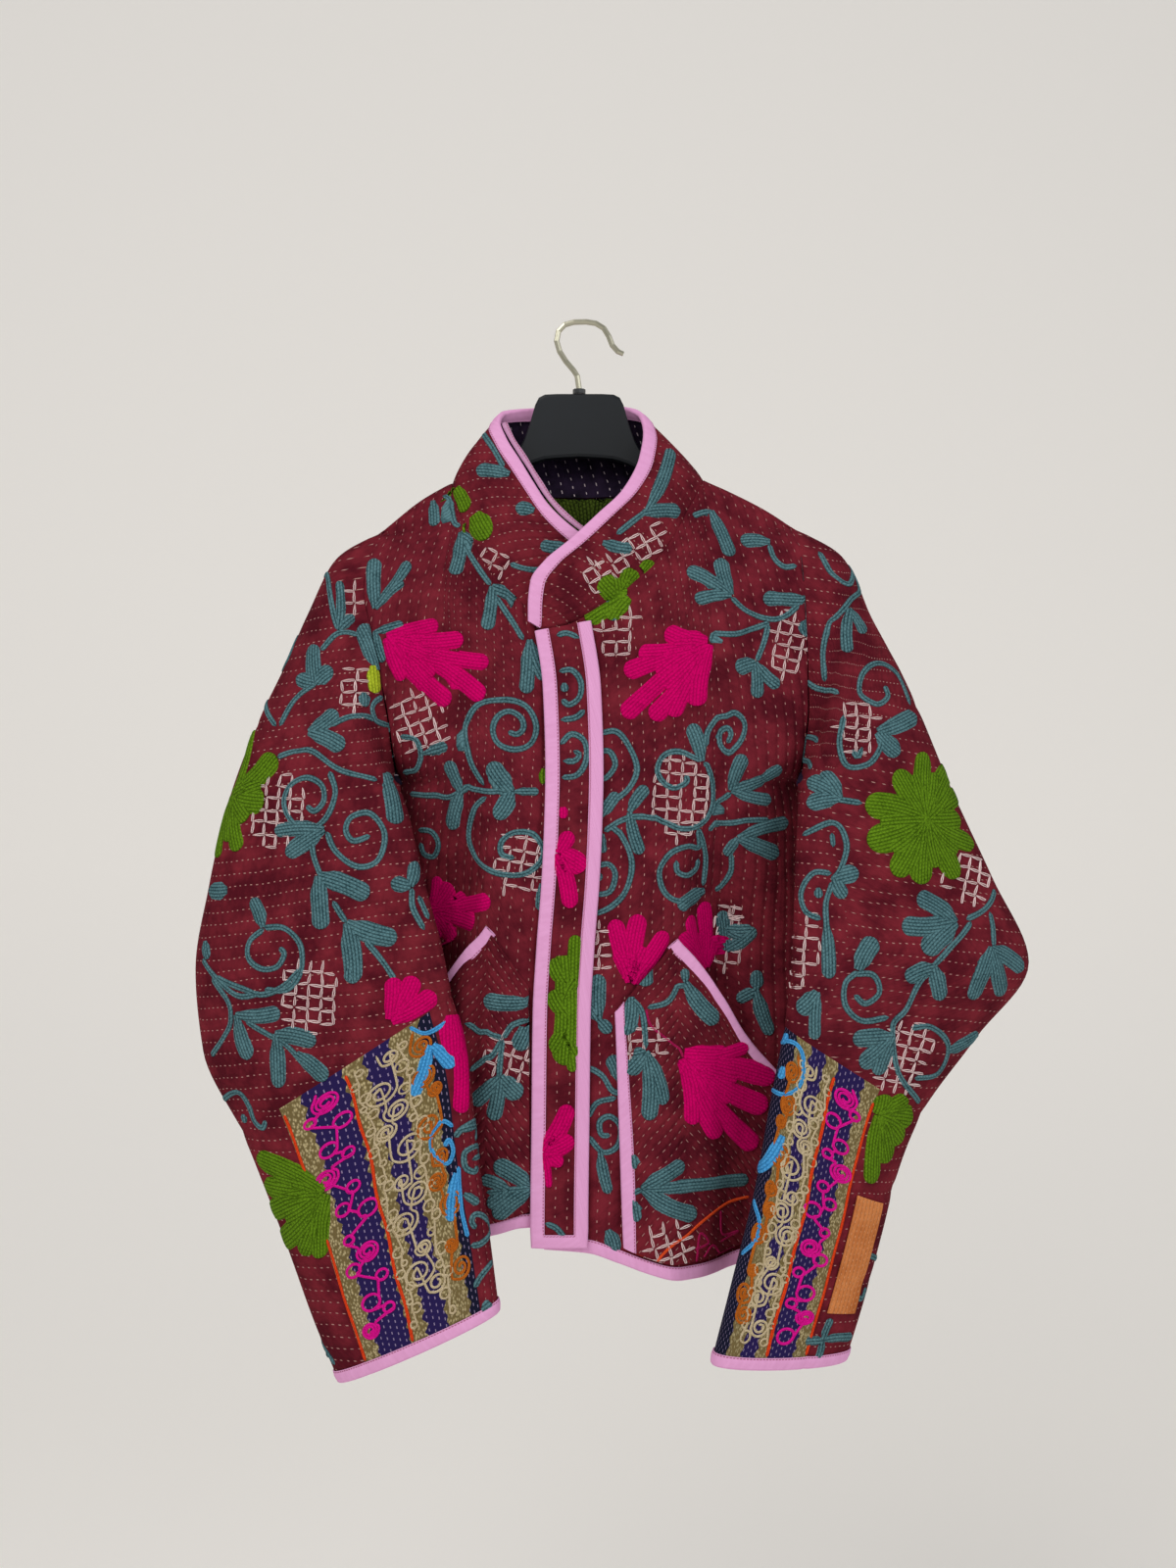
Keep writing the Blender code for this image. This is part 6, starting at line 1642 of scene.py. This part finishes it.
def curls(length, span, pitch, radius, middle, sway, turns=1.2, spiral=0, shrink=0.75):
    """One thread that draws a round loop to either side in turn. Every `spiral`-th loop is larger and
    winds in on itself; with spiral 1 all of them do. Sines of the loop's number make each a little uneven."""
    along, across = [0.0], [middle]
    for number in range(int((length - radius) / pitch)):
        hand = -1 if number % 2 else 1
        wound = spiral and number % spiral == 0
        loose = np.sin(np.array([2.4, 1.3, 1.9]) * number + 9 * middle)
        rounds = turns + 1.0 * bool(wound and spiral > 1) + 0.25 * loose[1]
        t = np.linspace(0, 1, int(11 * rounds))
        size = radius * (1.35 if wound and spiral > 1 else 1.0) * (1 - (shrink * t if wound else 0 * t))
        size = size * (1 + 0.3 * loose[0])
        angle = hand * (2 * math.pi * rounds * t - (0.6 + 0.2 * loose[1]) * math.pi)
        along.extend((number + 0.7 + 0.2 * loose[2]) * pitch + size * np.cos(angle))
        across.extend(middle + hand * sway * (1 - 0.5 * loose[2]) + size * np.sin(angle) / span)
    return np.clip(np.array(along) / length, 0.004, 0.996), np.array(across)


THREADS = {
    "pink": wool("hot_pink_cord", "#E6189A", "#B80874", 1.4, 2.0, 0.5),
    "ecru": wool("ecru_cord", "#D2C2A2", "#A08C68", 1.3, 2.0, 0.5),
    "rust": wool("rust_cord", "#C06A22", "#8A420E", 1.5, 2.0, 0.5),
    "flame": wool("red_orange_cord", "#E8481E", "#B42C0C", 1.5, 2.2, 0.6),
}


def dress_band(side):
    """Cords and chain lines of one band, a piece for each colour."""
    size = band_length(side), BAND_SPAN[side]
    panel = "sleeve_" + side
    straight = np.linspace(0.003, 0.997, 40)
    wander = 0.006 * np.sin(straight * 23)
    lines = {"flame": [(straight, FIRST_LINE + wander / 2, 1.5), (straight, SECOND_LINE + wander, 1.4)]}
    for shade, rows in CURLS.items():
        lines[shade] = [(*curls(*size, *row), half) for half, *row in rows]
    for shade, rows in lines.items():
        batches = [trail(panel, *band_place(side, along, across), 1.0, half) for along, across, half in rows]
        relief(shade + "_cord_" + side, batches, THREADS[shade])


for side in SIGN:
    dress_band(side)
    bpy.data.objects["border_" + side + "_cloth"].data.materials[0] = couched

# The right border stops short of the arm's inner edge, where the maroon quilt goes on down to the cuff: the
# faces of its outer cloth beyond that share of the width are maroon.
INNER_STRIP = 0.86
strip_mesh = bpy.data.objects["border_right_cloth"].data
strip_mesh.materials.append(ACROSS)
corners = np.zeros(len(strip_mesh.loops) * 2, np.float32)
strip_mesh.uv_layers["cloth"].data.foreach_get("uv", corners)
slots = np.zeros(len(strip_mesh.polygons), np.int32)
strip_mesh.polygons.foreach_get("material_index", slots)
inner_side = corners.reshape(-1, 4, 2)[:, :, 1].mean(axis=1) > INNER_STRIP * BAND_WIDTH
slots[inner_side & (slots == 0)] = 2
strip_mesh.polygons.foreach_set("material_index", slots)

# Patch
# A scrap of faded orange cotton, darned over the outer side of the left forearm with close rows of
# stitches through all the layers.
PATCH = (10.3, 12.0, 34.0, 66.0)       # first and last section, first and last turn
PATCH_LIFT = 0.8
PATCH_WALL = 1.2
PATCH_GRID = (27, 15)
PATCH_END = 0.9        # in sections from the patch's middle: beyond it the edge is uneven
faded_orange = quilted_cotton("faded_orange_cotton", "#D98A52", "#B86A38", "#E8A070", 4.2, 4.6)


def build_patch():
    """Even grid over the sleeve, lifted along its normals, with slightly uneven edges."""
    first, last, turn_a, turn_b = PATCH
    rows, columns = np.meshgrid(np.linspace(first, last, PATCH_GRID[0]),
                                np.linspace(turn_a, turn_b, PATCH_GRID[1]), indexing="ij")
    frayed = 0.02 * np.sin(columns * 0.9) + 0.01 * np.sin(columns * 2.3)
    from_middle = rows - (first + last) / 2
    rows = rows + frayed * np.sign(from_middle) * (np.abs(from_middle) > PATCH_END)
    points, normals, _, _ = surface("sleeve_left", rows / SECTION_STEP, columns / TURN_STEP)
    points = points + (PATCH_LIFT + PATCH_WALL) * normals
    uv = flat_map(points, *CLOTH_START["patch"])
    cloth("patch_cloth", "forearm_patch", "patch", points, normals, uv, [faded_orange], wall=PATCH_WALL,
          rests_on="forearm_left")


build_patch()

# Inner fold of the neck binding
# On the right side of the neck the part of the pink strip that is folded inside has slipped, and shows as a
# second line beside the edge.
# It lies in shade, and its pink is painted darker for that shade.
FOLD_DOWN = (80, 186)
FOLD_INSET = 5.8
FOLD_BEHIND = 2.6
FOLD_HALF = 2.3
edge = PANELS["collar"][0][:, -1]
later = np.arange(len(edge)) > len(edge) // 2
edge = edge[later & (-edge[:, 2] > FOLD_DOWN[0]) & (-edge[:, 2] < FOLD_DOWN[1]) & (edge[:, 0] < 0)]
inwards = unit(np.cross(np.gradient(edge, axis=0), (0.0, 1.0, 0.0)))
inwards *= np.sign(inwards[:, :1])
spread = FOLD_INSET + FOLD_HALF * np.array([-1.6, 0.0, 1.6])
ribbon = edge[:, None] + inwards[:, None] * spread[:, None] + (0.0, FOLD_BEHIND, 0.0)
PANELS["neck_fold"] = (ribbon, np.broadcast_to((0.0, -1.0, 0.0), ribbon.shape), False)
fold_at = np.linspace(0, len(ribbon) - 1.01, 12)
# Darker pink for the folded strip: painted shade inside the neck opening.
shaded_pink = bias_cotton("shaded_pink_bias_cotton", "#CF9CC0", "#AE80A2")
relief("neck_inner_fold", [trail("neck_fold", fold_at, np.ones(12), 1.2, FOLD_HALF)], shaded_pink)

# Worked scrap inside the neck
# The reverse of the back shows in the neck opening: dark moss-green stitching stands out on it below the
# rows of running stitches.
points, normals, _ = PANELS["back"]
PANELS["back_inside"] = (points - WALL * normals, -normals, False)
MOSS = ((0, 188, -34, 140, 26), (0, 188, -20, 128, 26), (0, 188, -4, 124, 26), (0, 188, 12, 124, 26),
        (0, 188, 28, 130, 26), (0, 188, 40, 144, 24), (0, 188, -42, 156, 24), (0, 188, 44, 160, 22))
moss = wool("dark_moss_wool", "#4A5C1E", "#161C08", 3.0, 3.4, 1.0)
relief("moss_inside", [leaves("back_inside", MOSS, 1.2, 0.5)], moss)

# Camera, light and floor
# The photographer's view: level with the chest, 1.5 m away. Soft daylight comes from above and from both
# sides, and a pale floor curves up into a backdrop.
stage_grey = new_material("pale_backdrop", Roughness=0.95, Base_Color=colour("#E4E1DD"),
                          Emission_Color=colour("#FFFDF9"), Emission_Strength=0.2)[0]


def sweep():
    """Floor that curves up into a backdrop: a profile of y and z carried along x."""
    turn = np.linspace(0, math.pi / 2, 13)
    y = np.concatenate([[-4.0], 1.7 + 0.9 * np.sin(turn), [2.6]])
    z = np.concatenate([[-1.45], -0.55 - 0.9 * np.cos(turn), [2.6]])
    x = np.linspace(-4.5, 4.5, 3)
    points = np.stack(np.broadcast_arrays(x[None], y[:, None], z[:, None]), axis=-1)
    ids = np.arange(points[..., 0].size).reshape(points.shape[:2])
    faces = np.stack([ids[:-1, :-1], ids[:-1, 1:], ids[1:, 1:], ids[1:, :-1]], axis=-1).reshape(-1, 4)
    mesh = bpy.data.meshes.new("floor")
    mesh.from_pydata(points.reshape(-1, 3).tolist(), [], faces.tolist())
    mesh.materials.append(stage_grey)
    mesh.shade_smooth()
    floor = bpy.data.objects.new("floor", mesh)
    bpy.context.scene.collection.objects.link(floor)


def soft_light(name, place, target, size, power, tint):
    """Square softbox turned to face a point."""
    lamp = bpy.data.lights.new(name, "AREA")
    lamp.size, lamp.energy, lamp.color = size, power, tint
    holder = bpy.data.objects.new(name, lamp)
    holder.location = place
    holder.rotation_euler = (Vector(target) - Vector(place)).to_track_quat("-Z", "Y").to_euler()
    bpy.context.scene.collection.objects.link(holder)


sweep()
soft_light("window", (-1.1, -2.2, 1.5), (0, 0, -0.4), 1.8, 50, (1.0, 0.98, 0.96))
soft_light("fill", (1.7, -1.9, 0.3), (0, 0, -0.45), 1.8, 17, (0.97, 0.98, 1.0))
world = bpy.data.worlds.new("daylight")
world.use_nodes = True
world.node_tree.nodes["Background"].inputs["Color"].default_value = colour("#F1F0EE")
world.node_tree.nodes["Background"].inputs["Strength"].default_value = 0.42
bpy.context.scene.world = world
bpy.context.scene.view_settings.view_transform = "Standard"

CAMERA_AT = (0.0016, -1.5, -0.375)
SENSOR = 36.0
VIEW_HEIGHT = 1.28     # metres that the picture shows from top to bottom at the hanger
camera = bpy.data.objects.new("camera", bpy.data.cameras.new("camera"))
camera.data.sensor_fit = "VERTICAL"
camera.data.sensor_height = SENSOR
camera.data.sensor_width = SENSOR
camera.data.lens = SENSOR * -CAMERA_AT[1] / VIEW_HEIGHT
camera.location = CAMERA_AT
camera.rotation_euler = (math.pi / 2, 0, 0)
bpy.context.scene.collection.objects.link(camera)
bpy.context.scene.camera = camera
